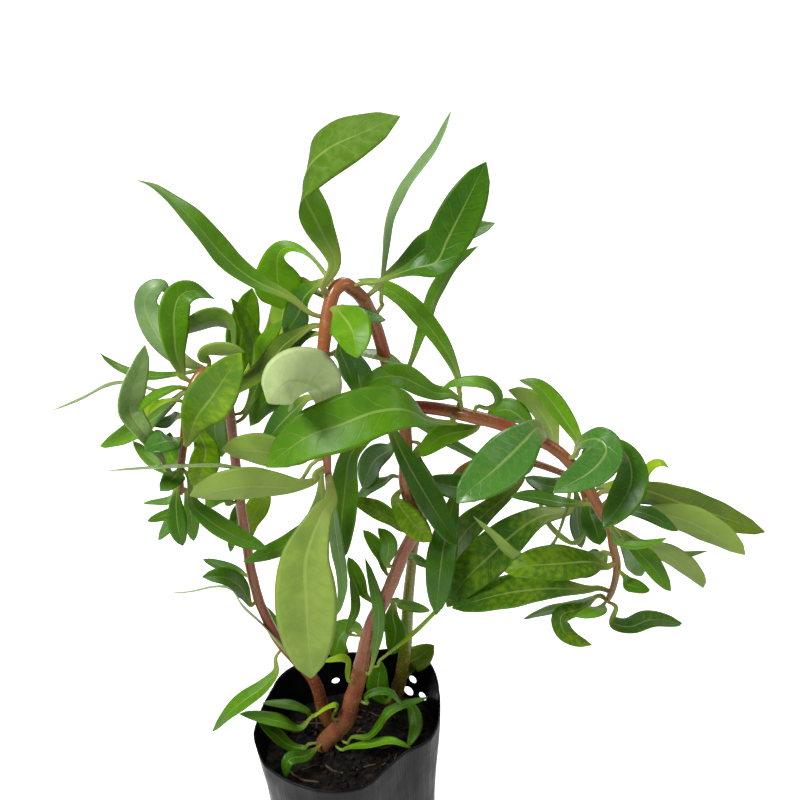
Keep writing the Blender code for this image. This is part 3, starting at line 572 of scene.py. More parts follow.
# Each leaf has its midrib's route in the picture from the stem to the tip, its nearness along the
# route in millimetres beyond its stem's, its width in millimetres, how far its upper face is
# rolled from the viewer along the route, in degrees, its look, and the share of its length where
# it is widest if that isn't the usual place.
LEAVES = {"main_cane": [
    Leaf([(340, 298), (334, 262), (318, 225), (304, 195), (309, 168), (330, 148), (360, 134), (400, 116)],
      (0, -3, 0, 6, 10), 12.5, (30, 20, 15, 85, 150, 155, 155), "bright"),
    Leaf([(338, 285), (312, 258), (294, 248), (280, 252), (277, 272), (282, 309)], (0, -8, -13, -14, -12),
      12, (60, 60, 40, 0, 0), "bright", 0.82),
    Leaf([(326, 318), (290, 298), (250, 278), (221, 254), (193, 221), (158, 190), (137, 180)], (0, 2, 4, 0),
      9, (40, 50, 50, 60, 80), "mid"),
    Leaf([(373, 318), (381, 300), (383, 270), (388, 220), (400, 190), (417, 165), (433, 145), (451, 111)],
      (0, -8, -12, -16), 7, (120, 112, 110, 115), "blue"),
    Leaf([(350, 287), (380, 281), (412, 269), (436, 262), (447, 240), (463, 208), (486, 162)],
      (0, 4, 4, 0, -4), 10.5, (-60, -60, 0, 20, 20), "dark", 0.68),
    Leaf([(363, 299), (385, 279), (405, 266), (430, 246), (460, 235), (495, 223)], (0, -3, -8, -12), 10,
      (-50, -52, -52), "dark"),
    Leaf([(390, 376), (409, 367), (423, 333), (436, 295), (455, 265), (478, 246)], (0, -12, -18, -20), 8,
      (-60, -62, -60), "bright"),
    Leaf([(329, 308), (341, 314), (352, 330), (357, 358)], (0, 9, 16, 18), 9.5, (0, 0), "bright"),
    Leaf([(336, 289), (319, 284), (305, 297), (298, 315), (284, 336)], (0, -3, -8, -12), 9, (60, 40, 30),
      "dark"),
    Leaf([(332, 299), (300, 286), (286, 300), (280, 328), (268, 352), (250, 378), (229, 398)],
      (0, -22, -26, -28, -26), 9, (70, 50, 40, 50), "lime"),
    Leaf([(326, 325), (303, 332), (283, 347), (266, 368), (231, 396)], (0, -6, -8, -6), 9, (50, 55, 60),
      "olive"),
    Leaf([(323, 356), (337, 352), (350, 360), (360, 382), (358, 402)], (0, -10, -17, -20), 8, (30, 20, 10),
      "dark"),
    Leaf([(322, 410), (322, 392), (305, 381), (285, 383), (268, 403)], (0, 8, 16, 22, 26), 15,
      (150, 165, 175), "chalk"),
    Leaf([(400, 402), (388, 408), (391, 430), (408, 465), (430, 503), (457, 545)], (0, 7, 9, 8, 4), 10,
      (-40, -45, -40), "dark"),
    Leaf([(405, 424), (385, 425), (365, 440), (350, 457), (345, 490), (341, 530), (341, 560)],
      (0, 3, 4, 4, 0), 9, (25, 20, 20), "mid"),
    Leaf([(328, 477), (331, 500), (322, 513), (311, 540), (305, 565), (306, 600), (308, 640), (311, 678)],
      (0, 8, 14, 18, 20), 15.5, (10, 0, 0), "pale"),
    Leaf([(326, 450), (300, 458), (275, 453), (250, 450), (222, 450)], (0, -6, -13), 9.5, (120, 150, 150),
      "mid"),
    Leaf([(327, 466), (315, 481), (295, 487), (265, 486), (235, 487), (190, 496)], (0, 6, 10, 6), 10.5,
      (120, 140, 140), "mid"),
    Leaf([(321, 400), (300, 405), (280, 425), (261, 448)], (0, -6, -10, -12), 8, (40, 40), "dark"),
    Leaf([(328, 474), (321, 504), (311, 530), (286, 546), (243, 562)], (0, -6, -10, -12), 9, (30, 50, 50),
      "mid"),
], "right_shoot": [
    Leaf([(458, 413), (459, 392), (457, 376), (445, 350), (427, 325), (403, 300), (380, 286), (357, 279)],
      (0, -5, -10, -15, -17), 7.5, (40, 45, 50), "bright"),
    Leaf([(461, 413), (459, 400), (449, 394), (435, 393), (420, 386), (400, 377), (380, 378), (360, 388)],
      (0, 3, 6, 6, 5), 8, (50, 45, 30), "mid"),
    Leaf([(570, 463), (577, 440), (563, 418), (548, 398), (535, 385), (519, 380)], (0, -8, -14, -18), 8.5,
      (40, 50, 60), "bright"),
    Leaf([(558, 452), (552, 430), (538, 408), (522, 396), (508, 390)], (0, -16, -24, -28), 8.5,
      (130, 140, 140), "mid"),
    Leaf([(457, 412), (455, 423), (430, 421), (405, 410), (375, 412), (340, 425), (305, 438), (266, 467)],
      (0, 21, 27, 28, 28), 13, (75, 72, 60, 10, 12, 15, 20), "mid", 0.68),
    Leaf([(541, 441), (537, 428), (525, 440), (500, 465), (470, 490), (457, 503)], (0, 14, 22, 26), 12,
      (0, 0, 10), "blue"),
    Leaf([(566, 459), (580, 444), (597, 439), (606, 452), (590, 472), (553, 493)], (0, 7, 14, 20, 24), 9,
      (-60, -40, 10, 30), "blue"),
    Leaf([(574, 467), (584, 451), (603, 443), (621, 449), (631, 467), (628, 492), (603, 529)],
      (0, 4, 10, 16), 8.5, (-60, -60, 0, 20), "dark", 0.68),
    Leaf([(594, 499), (645, 491), (680, 503), (715, 515), (765, 532)], (0, -8, -12, -14), 10.5,
      (-35, -35, -40), "olive"),
    Leaf([(605, 519), (645, 513), (680, 518), (715, 535), (745, 555)], (0, -4, -4, -4), 10.5,
      (-120, -140, -140), "mid"),
    Leaf([(600, 510), (625, 500), (660, 500), (705, 510), (748, 531)], (0, -14, -20, -22), 9, (-45, -45),
      "dark"),
    Leaf([(609, 526), (633, 547), (650, 565), (671, 591)], (0, 8, 12), 8.5, (-60, -50), "mid"),
    Leaf([(611, 534), (640, 543), (665, 553), (690, 573), (703, 588)], (0, -6, -12), 9.5,
      (-110, -130, -130), "mid"),
    Leaf([(616, 560), (590, 562), (560, 564), (530, 566), (505, 572)], (0, 8, 12, 12), 11, (40, 30, 30),
      "mottled"),
    Leaf([(612, 592), (585, 590), (545, 589), (500, 595), (452, 608)], (0, -6, -9, -10), 12, (40, 35),
      "mottled"),
    Leaf([(606, 600), (612, 622), (630, 627), (652, 620), (682, 623)], (0, 0, -4, -8), 8, (-40, -50, -50),
      "mottled"),
], "second_cane": [
    Leaf([(577, 483), (569, 497), (565, 515), (553, 545), (537, 562), (515, 557), (495, 538), (473, 516)],
      (0, 14, 18, 20, 20), 8, (60, 90, 110, 110), "mid"),
    Leaf([(586, 503), (567, 512), (540, 517), (515, 533), (490, 556), (465, 580), (447, 607)],
      (0, -2, 0, 2), 13, (20, 15, 10), "mottled"),
    Leaf([(532, 463), (520, 474), (500, 485), (460, 488), (424, 479)], (0, 8, 8, 2), 10, (40, 35, 35),
      "dark"),
    Leaf([(525, 461), (505, 464), (478, 458), (450, 444), (425, 428), (388, 408)], (0, 4, 5, 4, 3), 7,
      (60, 65, 60), "mid"),
    Leaf([(462, 470), (453, 505), (447, 530), (441, 565), (436, 615)], (0, 14, 23, 26), 9, (15, 15),
      "dark"),
    Leaf([(520, 461), (522, 480), (508, 495), (485, 514), (460, 540), (452, 577)], (0, 3, 1, -4), 10,
      (30, 35, 35), "mottled"),
], "left_cane": [
    Leaf([(184, 440), (196, 418), (213, 395), (241, 353)], (0, 12, 18, 20), 11, (0, 0), "fresh"),
    Leaf([(185, 430), (198, 433), (205, 449), (202, 470), (195, 487)], (0, 2, 5, 5), 8, (-20, -20),
      "fresh"),
    Leaf([(180, 474), (160, 455), (145, 435), (130, 413), (132, 390), (140, 365), (145, 345)],
      (0, 4, 0, -4), 7.5, (60, 40, 20), "grey"),
    Leaf([(210, 372), (185, 362), (172, 352), (158, 335), (148, 315), (145, 300), (152, 289), (163, 286),
      (170, 294)], (0, -6, -12, -14), 8, (140, 150, 150), "blue", 0.55),
    Leaf([(194, 383), (181, 371), (176, 355), (174, 335), (174, 312), (180, 296), (195, 291), (215, 299)],
      (0, 0, -2, -6, -10), 7.5, (20, 20, 0, -80), "mid", 0.55),
    Leaf([(219, 380), (232, 362), (233, 340), (228, 323), (210, 321), (190, 330), (181, 336)],
      (0, 4, 0, -6), 8.5, (30, 80, 130, 130), "bright"),
    Leaf([(227, 399), (238, 358), (241, 335), (246, 312), (252, 288)], (0, -8, -14, -18), 9, (20, 20),
      "fresh"),
    Leaf([(231, 425), (252, 400), (258, 378), (255, 350), (246, 325), (231, 298)], (0, -4, -5, -5), 6.5,
      (40, 40), "fresh"),
    Leaf([(182, 468), (193, 505), (212, 523), (238, 538), (268, 549)], (0, 4, 4, 2), 8.5, (-50, -50),
      "mid"),
    Leaf([(258, 598), (242, 589), (225, 578), (202, 577)], (0, 10, 14), 8, (40, 40), "dark"),
    Leaf([(190, 395), (165, 410), (140, 428), (100, 446)], (0, -10, -16), 8.5, (50, 50), "bright"),
    Leaf([(284, 647), (276, 672), (262, 688), (245, 700), (228, 714), (212, 732)], (0, 6, 10, 12), 7,
      (30, 35, 60), "mid"),
]}

# Young and narrow leaves, which grow in numbers round the joints
YOUNG_LEAVES = {"main_cane": [
    Leaf([(325, 334), (305, 338), (295, 347), (286, 362)], (0, -8, -12), 5, (50, 50), "dark"),
    Leaf([(329, 310), (350, 311), (370, 317), (386, 320)], (0, -2, -4), 6, (-60, -60), "blue"),
    Leaf([(391, 386), (404, 372), (390, 360), (365, 354), (345, 349)], (0, 3, 3, 2), 6, (70, 60), "grey"),
    Leaf([(325, 333), (340, 350), (348, 370), (356, 392)], (0, 2, 0), 6, (-50, -50), "dark"),
    Leaf([(406, 440), (415, 455), (425, 485), (447, 525)], (0, -1, -1), 7, (-40, -40), "dark"),
    Leaf([(327, 462), (333, 505), (338, 545), (343, 580), (340, 605), (334, 618)], (0, -14, -18, -20), 6,
      (50, 50), "mid"),
    Leaf([(406, 448), (390, 450), (374, 462), (362, 488)], (0, -8, -11), 9, (30, 30), "dark"),
    Leaf([(383, 602), (393, 616), (396, 634), (390, 654)], (0, -8, -12), 8, (20, 20), "dark"),
    Leaf([(321, 390), (290, 391), (265, 402), (250, 426)], (0, -16, -22, -24), 8, (30, 20), "mid"),
    Leaf([(405, 480), (385, 482), (368, 490), (354, 505)], (0, -8, -12), 5.5, (50, 50), "mid"),
    Leaf([(413, 534), (390, 518), (370, 508), (351, 499)], (0, 2, 0), 7.5, (45, 45), "fresh"),
    Leaf([(405, 485), (398, 503), (412, 522), (431, 542)], (0, 5, 6), 7.5, (20, 10), "fresh"),
    Leaf([(400, 562), (415, 560), (431, 566)], (0, -6, -8), 5, (-50, -50), "mid"),
    Leaf([(384, 600), (400, 605), (430, 610)], (0, -4, -8), 5.5, (-50, -50), "fresh"),
    Leaf([(361, 668), (380, 660), (400, 645), (420, 628), (440, 607), (450, 590)], (0, 1, 0, -2), 3,
      (-60, -60), "lime"),
    Leaf([(399, 564), (388, 542), (378, 528)], (0, 4, 2), 5.5, (20, 20), "mid"),
    Leaf([(392, 582), (380, 553), (363, 530)], (0, -6, -8), 5, (30, 30), "bright"),
    Leaf([(379, 608), (362, 590), (348, 557)], (0, -4, -6), 5, (20, 20), "bright"),
    Leaf([(362, 664), (377, 640), (378, 610), (370, 575), (365, 558)], (0, 7, 7, 4), 4.5, (30, 30), "mid"),
    Leaf([(368, 637), (347, 630), (355, 607), (350, 575)], (0, 2, 0), 4, (40, 40), "mid"),
    Leaf([(366, 645), (354, 629), (341, 636), (333, 658)], (0, -8, -12, -14), 10, (60, 20, 10), "mid"),
    Leaf([(360, 674), (345, 660), (322, 662)], (0, 8, 12), 4, (50, 50), "lime"),
    Leaf([(353, 698), (366, 697), (378, 692), (390, 693), (401, 704)], (0, 4, 6), 4, (-50, -50), "dark"),
    Leaf([(335, 733), (352, 737), (368, 737), (380, 725), (392, 710), (428, 697)], (0, 6, 5, -4), 5,
      (-50, -50), "dark"),
    Leaf([(331, 738), (350, 747), (372, 744), (392, 741), (412, 748)], (0, 6, 8, 9), 4.5, (-50, -50),
      "bright"),
    Leaf([(347, 718), (336, 706), (325, 709), (313, 718)], (0, 4, 6), 3, (60, 60), "lime"),
    Leaf([(326, 742), (305, 748), (290, 746), (275, 735), (258, 722)], (0, 2, 5, 8), 6, (40, 40), "dark"),
    Leaf([(325, 741), (305, 756), (289, 760), (285, 778)], (0, 10, 16, 18), 5, (20, 20), "dark"),
    Leaf([(327, 459), (295, 484), (260, 475), (225, 467), (180, 467), (105, 471)], (0, 5, 8, 8), 6.5,
      (84, 84), "grey"),
], "right_shoot": [
    Leaf([(473, 418), (488, 408), (497, 400), (490, 388), (475, 383), (455, 384), (440, 390)], (0, 4, 8, 8),
      6, (60, 60), "bright"),
    Leaf([(592, 497), (615, 486), (640, 480), (652, 466), (662, 463), (669, 468)], (0, -12, -14, -14), 5,
      (-50, -50), "lime"),
    Leaf([(604, 518), (625, 510), (650, 516), (678, 531)], (0, 4, 6), 6, (-50, -50), "dark"),
    Leaf([(613, 545), (650, 547), (680, 555), (708, 551)], (0, -14, -24, -26), 5, (-50, -50), "mid"),
    Leaf([(608, 524), (620, 543), (635, 546), (655, 543), (667, 538)], (0, 12, 14, 14), 5, (-60, -60),
      "mid"),
    Leaf([(617, 568), (628, 585), (650, 590)], (0, 4, 4), 6, (-50, -50), "mid"),
    Leaf([(606, 602), (575, 606), (545, 612), (523, 619)], (0, -14, -22), 6, (60, 60), "mid"),
    Leaf([(607, 600), (595, 612), (575, 617)], (0, 12, 14), 5, (40, 40), "bright"),
    Leaf([(597, 505), (560, 503), (535, 498), (510, 497)], (0, -6, -6, -4), 6, (50, 50), "dark"),
    Leaf([(605, 603), (583, 608), (562, 615), (563, 630), (575, 640), (592, 645)], (0, -5, -7, -5, -3), 5.5,
      (40, 20, -20), "mottled"),
    Leaf([(480, 419), (468, 431), (442, 437), (417, 456)], (0, -5, -6, -6), 7, (30, 30), "bright"),
    Leaf([(528, 436), (522, 419), (507, 410), (487, 414)], (0, -8, -11, -13), 7, (30, 20), "mid"),
    Leaf([(616, 556), (603, 558), (590, 565), (570, 572)], (0, -6, -10, -12), 8, (30, 30), "mottled"),
    Leaf([(613, 542), (626, 545), (636, 558), (642, 576)], (0, -9, -16, -18), 9, (-20, -20), "mid"),
], "second_cane": [
    Leaf([(585, 498), (590, 512), (595, 526), (600, 545)], (0, 6, 8), 7, (0, 0), "dark"),
    Leaf([(579, 486), (577, 503), (577, 520), (582, 548)], (0, -4, -6), 6, (-30, -30), "dark"),
    Leaf([(572, 479), (550, 487), (525, 477)], (0, -10, -16), 7, (40, 40), "dark"),
    Leaf([(586, 505), (585, 530), (573, 544), (552, 530), (541, 510), (540, 488)], (0, 2, -4, -8), 5,
      (110, 110), "mid"),
    Leaf([(399, 688), (386, 700), (378, 687), (382, 662)], (0, 6, 8, 6), 8, (-10, -10), "dark"),
    Leaf([(397, 696), (412, 708), (416, 726), (408, 747)], (0, 8, 16, 21), 5, (0, 0), "mid"),
    Leaf([(399, 684), (409, 663), (421, 656), (434, 645)], (0, -3, -5), 9, (0, 0), "olive"),
], "left_cane": [
    Leaf([(184, 438), (165, 442), (144, 449)], (0, 6, 8), 9, (50, 50), "blue"),
    Leaf([(181, 482), (160, 468), (145, 455), (133, 441)], (0, -8, -12), 6, (50, 50), "bright"),
    Leaf([(186, 422), (168, 422), (150, 424)], (0, -8, -10), 5, (50, 50), "mid"),
    Leaf([(192, 390), (170, 390), (150, 400), (138, 412)], (0, 6, 8), 5, (60, 60), "mid"),
    Leaf([(192, 391), (160, 391), (128, 383), (105, 387), (80, 400), (51, 411)], (0, -4, -6, -8), 5,
      (82, 82), "grey"),
    Leaf([(188, 402), (160, 404), (148, 412), (146, 425), (150, 440)], (0, -2, -2, -2), 4.5, (60, 60),
      "lime"),
    Leaf([(206, 371), (175, 375), (150, 377), (125, 371), (108, 361), (100, 353)], (0, -2, -6, -8), 5,
      (60, 60), "mid"),
    Leaf([(207, 371), (205, 355), (225, 350), (245, 352)], (0, 6, 8), 6, (-130, -130), "mid"),
    Leaf([(230, 415), (255, 392), (263, 365), (265, 345), (283, 320)], (0, 2, 0), 6, (-30, -30), "bright"),
    Leaf([(254, 580), (230, 570), (203, 559)], (0, -8, -12), 5.5, (50, 50), "dark"),
    Leaf([(286, 649), (265, 627), (243, 607), (232, 590), (215, 587), (190, 592), (167, 593)],
      (0, 5, 7, 8, 8), 4, (80, 80), "grey"),
    Leaf([(283, 646), (272, 622), (258, 603)], (0, -8, -10), 4.5, (30, 30), "mid"),
    Leaf([(246, 543), (252, 520), (262, 500), (268, 488)], (0, -8, -14), 7.5, (-20, -20), "lime"),
    Leaf([(245, 535), (236, 520), (238, 503)], (0, -6, -8), 5, (30, 30), "mid"),
    Leaf([(243, 523), (234, 534), (230, 552)], (0, 4, 5), 4, (50, 50), "mid"),
    Leaf([(182, 492), (175, 512), (147, 521)], (0, 2, 2), 4.5, (50, 50), "dark"),
    Leaf([(182, 494), (174, 516), (158, 540)], (0, -5, -7), 4.5, (40, 40), "dark"),
    Leaf([(181, 480), (176, 506), (178, 528), (183, 546)], (0, 6, 7), 5, (0, 0), "dark"),
    Leaf([(182, 493), (191, 518), (194, 541)], (0, -4, -5), 4.5, (-20, -20), "bright"),
    Leaf([(182, 466), (172, 480), (160, 491)], (0, 9, 12), 5.5, (20, 20), "dark"),
    Leaf([(181, 488), (170, 500), (143, 503)], (0, -11, -15), 4, (60, 60), "mid"),
    Leaf([(322, 708), (300, 728), (280, 722), (239, 714)], (0, 6, 12, 14), 7, (50, 50), "mid"),
    Leaf([(323, 712), (308, 712), (293, 706), (262, 703)], (0, 3, 4), 5, (50, 50), "mid"),
    Leaf([(228, 404), (218, 415), (215, 432), (222, 457)], (0, -7, -10, -10), 8, (20, 20), "mid"),
    Leaf([(240, 500), (230, 493), (217, 496), (205, 506)], (0, 4, 3), 6, (30, 30), "bright"),
    Leaf([(181, 470), (172, 458), (168, 447), (170, 432)], (0, -9, -14, -16), 6, (0, 0), "mid"),
]}


def place(px, py, near):
    """Point seen at a pixel of the picture, near millimetres in front of the pot's middle."""
    right = (px - PICTURE_CENTRE) / FOCAL_PIXELS
    down = (py - PICTURE_CENTRE) / FOCAL_PIXELS
    ahead = math.cos(PITCH) - down * math.sin(PITCH)
    fall = math.sin(PITCH) + down * math.cos(PITCH)
    reach = (-near * MM - EYE.y) / ahead
    return EYE + Vector((right, ahead, -fall)) * reach


def pixel(point):
    """Pixel of the picture at which a point is seen."""
    ray = point - EYE
    depth = ray.y * math.cos(PITCH) - ray.z * math.sin(PITCH)
    height = ray.y * math.sin(PITCH) + ray.z * math.cos(PITCH)
    return Vector((ray.x, -height)) * FOCAL_PIXELS / depth + Vector((PICTURE_CENTRE, PICTURE_CENTRE))


def shares_of(points):
    """Each point's share of the length of the line through points."""
    lengths = [0.0]
    for a, b in zip(points, points[1:]):
        lengths.append(lengths[-1] + (b - a).length)
    return [length / lengths[-1] for length in lengths]


def smooth(points, steps=8):
    """Fine line along the curve that runs smoothly through points."""
    padded = [2 * points[0] - points[1], *points, 2 * points[-1] - points[-2]]
    line = []
    for a, b, c, d in zip(padded, padded[1:], padded[2:], padded[3:]):
        for step in range(steps):
            t = step / steps
            line.append(
                b
                + (c - a) * (0.5 * t)
                + (2 * a - 5 * b + 4 * c - d) * (0.5 * t * t)
                + (3 * b - a - 3 * c + d) * (0.5 * t * t * t)
            )
    line.append(points[-1])
    return line


def evenly(line, count):
    """Count points at even distances along a line."""
    shares = shares_of(line)
    points, index = [], 0
    for step in range(count):
        share = step / (count - 1)
        while index < len(line) - 2 and shares[index + 1] < share:
            index += 1
        mix = (share - shares[index]) / (shares[index + 1] - shares[index])
        points.append(line[index].lerp(line[index + 1], min(mix, 1)))
    return points


def stem_line(stem):
    """Fine middle line of a stem, with each point's share of its length."""
    shares = shares_of([Vector(spot) for spot in stem.route])
    points = [place(*spot, along(stem.near, share)) for spot, share in zip(stem.route, shares)]
    if stem.planted:
        points.insert(0, points[0] - Vector((0, 0, ROOT_DEPTH)))
    line = smooth(points)
    return line, shares_of(line)


def joint_index(line, leaf):
    """Index of the stem's line at which a leaf stands."""
    start = Vector(leaf.route[0])
    index = min(range(len(line)), key=lambda i: (pixel(line[i]) - start).length)
    return min(max(index, 1), len(line) - 2)


def stem_finish(name, shades):
    """Reddish stem: streaked along its length, paler at its joints, wet and glossy."""
    finish, tree, shader = new_finish(name)
    u, v = around_and_along(tree)
    round_it, along_it = times(tree, u, 3.0), times(tree, v, 9.0)
    streaks = node(tree, "ShaderNodeCombineXYZ", (round_it, along_it, 0.0))
    streak = speckle(tree, 3.0, 3.0, streaks.outputs[0])
    fleck = speckle(tree, 900.0, 3.0)
    tints = tree.nodes.new("ShaderNodeValToRGB")
    for step, shade in enumerate(shades):
        stop = step / (len(shades) - 1)
        first = tints.color_ramp.elements
        element = first[0] if step == 0 else first[-1] if step == len(shades) - 1 else first.new(stop)
        element.color = (*shade, 1)
    tree.links.new(v, tints.inputs[0])
    joint = node(tree, "ShaderNodeAttribute", attribute_name="joint").outputs["Fac"]
    colour = blend(tree, ramp(tree, streak, 0.42, 0.75, 0.0, 0.3), tints.outputs[0], STEM_PALE)
    colour = blend(tree, ramp(tree, streak, 0.48, 0.2, 0.0, 0.3), colour, STEM_DEEP)
    colour = blend(tree, ramp(tree, fleck, 0.58, 0.70, 0.0, 0.4), colour, STEM_FLECK)
    colour = blend(tree, times(tree, joint, 0.35), colour, STEM_JOINT)
    tree.links.new(colour, shader.inputs["Base Color"])
    tree.links.new(ramp(tree, fleck, 0.3, 0.8, 0.2, 0.32), shader.inputs["Roughness"])
    shader.inputs["Specular IOR Level"].default_value = 0.4
    shader.inputs["Subsurface Weight"].default_value = 0.08
    shader.inputs["Subsurface Radius"].default_value = (1.0, 0.35, 0.2)
    shader.inputs["Subsurface Scale"].default_value = 0.6 * MM
    height = math_node(tree, "ADD", streak, times(tree, fleck, 0.5))
    relief(tree, shader, height, 0.035 * MM, 0.5)
    return finish


stem_lines = {name: stem_line(stem) for name, stem in STEMS.items()}
for name, stem in STEMS.items():
    line, shares = stem_lines[name]
    joints = {joint_index(line, leaf) for leaf in LEAVES[name] + YOUNG_LEAVES[name]}
    count = round(sum((b - a).length for a, b in zip(line, line[1:])) / MM)
    points = evenly(line, count)
    near_joint, radii = [], []
    for step, point in enumerate(points):
        gap = min((line[index] - point).length for index in joints)
        near_joint.append(math.exp(-((gap / JOINT_REACH) ** 2)))
        share = step / (count - 1)
        blunt = min(1, math.sqrt(max(1 - share, 0.0) * count / END_ROUNDING + END_LEAST))
        radii.append(along(stem.thick, share) * MM / 2 * (1 + JOINT_SWELL * near_joint[-1]) * blunt)
    rings = tube_rings(points, radii, STEM_SIDES)
    bm = bmesh.new()
    paler = bm.verts.layers.float.new("joint")
    add_skin(bm, rings)
    for vert in bm.verts:
        vert[paler] = max(
            value for value, point in zip(near_joint, points) if (point - vert.co).length < JOINT_NEAR
        )
    cane = new_object(f"{name}_stem", bm, [stem_finish(f"{name}_skin", stem.shades)])
    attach(cane, "root")
    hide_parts(name)


# The leaves are thin, soft and wet, narrow like a willow's, with a pale midrib that runs into a
# flat yellowish stalk. Their upper faces are bright to dark green, partly in their own tones and
# partly in painted light and shade, and their undersides pale.
STALK_SHARE = 0.12
STALK_THICKNESS = 1.05 * MM
BLADE_THICKNESS = 0.3 * MM
KEEL = 0.16
KEEL_CURVE = 1.3
SWELL_BEFORE, SWELL_AFTER = 1.25, 0.78
TIP_ROUNDING = 14
TIP_WIDTH, TIP_THICKNESS = 0.25, 0.3
BLADE_START, BLADE_GROWTH = 0.06, 0.3
STALK_ROOT = 0.4
STALK_STEP, STALK_LEAN = 1.6 * MM, 1.2 * MM
RIB_SUNK = 0.35
FRAME_STEPS = 28
STALK_STEPS = 6
FRAME_SMOOTHING = 8
RIB_WIDTH = 0.55 * MM
RIB_HEIGHT = 0.35 * MM
WAVE = 0.025
WAVE_LENGTH = 11 * MM
LEAF_SIDES, LEAF_STEPS = 24, 56
YOUNG_SIDES, YOUNG_STEPS = 14, 28
# Each look has its upper face, its blotches and how strong they are, its underside, its roughness
# and its shine. The lighter and darker looks are partly the leaves' own tones and partly painted
# light and shade: leaves that glow with light through them have the lighter looks, leaves in shade,
# such as those low in the pot, the darker ones, and the grey look's upper face is painted lighter to
# lift leaves that lie in shade.
LOOKS = {
    "bright": ((0.085, 0.220, 0.001), (0.15, 0.32, 0.002), 0.35, (0.070, 0.155, 0.002), 0.38, 0.2),
    "lime": ((0.20, 0.34, 0.003), (0.31, 0.45, 0.004), 0.45, (0.25, 0.37, 0.02), 0.42, 0.16),
    "fresh": ((0.085, 0.21, 0.001), (0.23, 0.34, 0.002), 0.85, (0.20, 0.32, 0.02), 0.42, 0.16),
    "mid": ((0.066, 0.185, 0.002), (0.12, 0.26, 0.003), 0.4, (0.19, 0.28, 0.04), 0.38, 0.2),
    "dark": ((0.034, 0.120, 0.001), (0.075, 0.18, 0.002), 0.4, (0.13, 0.22, 0.03), 0.34, 0.24),
    "mottled": ((0.034, 0.108, 0.001), (0.14, 0.23, 0.002), 0.8, (0.15, 0.24, 0.03), 0.38, 0.2),
    "olive": ((0.080, 0.140, 0.004), (0.13, 0.18, 0.006), 0.5, (0.24, 0.32, 0.04), 0.38, 0.2),
    # The blue look's bluish tint is partly the leaf's own blue-green and partly painted sheen, the pale
    # surround's reflection on a glossy leaf; its shine is the shader's own.
    "blue": ((0.045, 0.150, 0.015), (0.08, 0.20, 0.02), 0.4, (0.13, 0.235, 0.075), 0.27, 0.45),
    "grey": ((0.20, 0.32, 0.09), (0.28, 0.39, 0.15), 0.5, (0.26, 0.34, 0.12), 0.28, 0.45),
    "pale": ((0.185, 0.27, 0.045), (0.25, 0.33, 0.06), 0.6, (0.22, 0.32, 0.06), 0.42, 0.2),
    "chalk": ((0.12, 0.30, 0.03), (0.2, 0.34, 0.05), 0.4, (0.43, 0.53, 0.24), 0.45, 0.2),
}
RIB_COLOUR = (0.27, 0.38, 0.08, 1)
STALK_COLOUR = (0.22, 0.28, 0.05, 1)
STALK_FOOT_COLOUR = (0.26, 0.15, 0.06, 1)
VEIN_COUNT = 15.0
VEIN_SLANT = 1.3


def blend_values(tree, share, first, second):
    """Mix of two values."""
    less = times(tree, first, 1 - share)
    return math_node(tree, "ADD", less, times(tree, second, share))


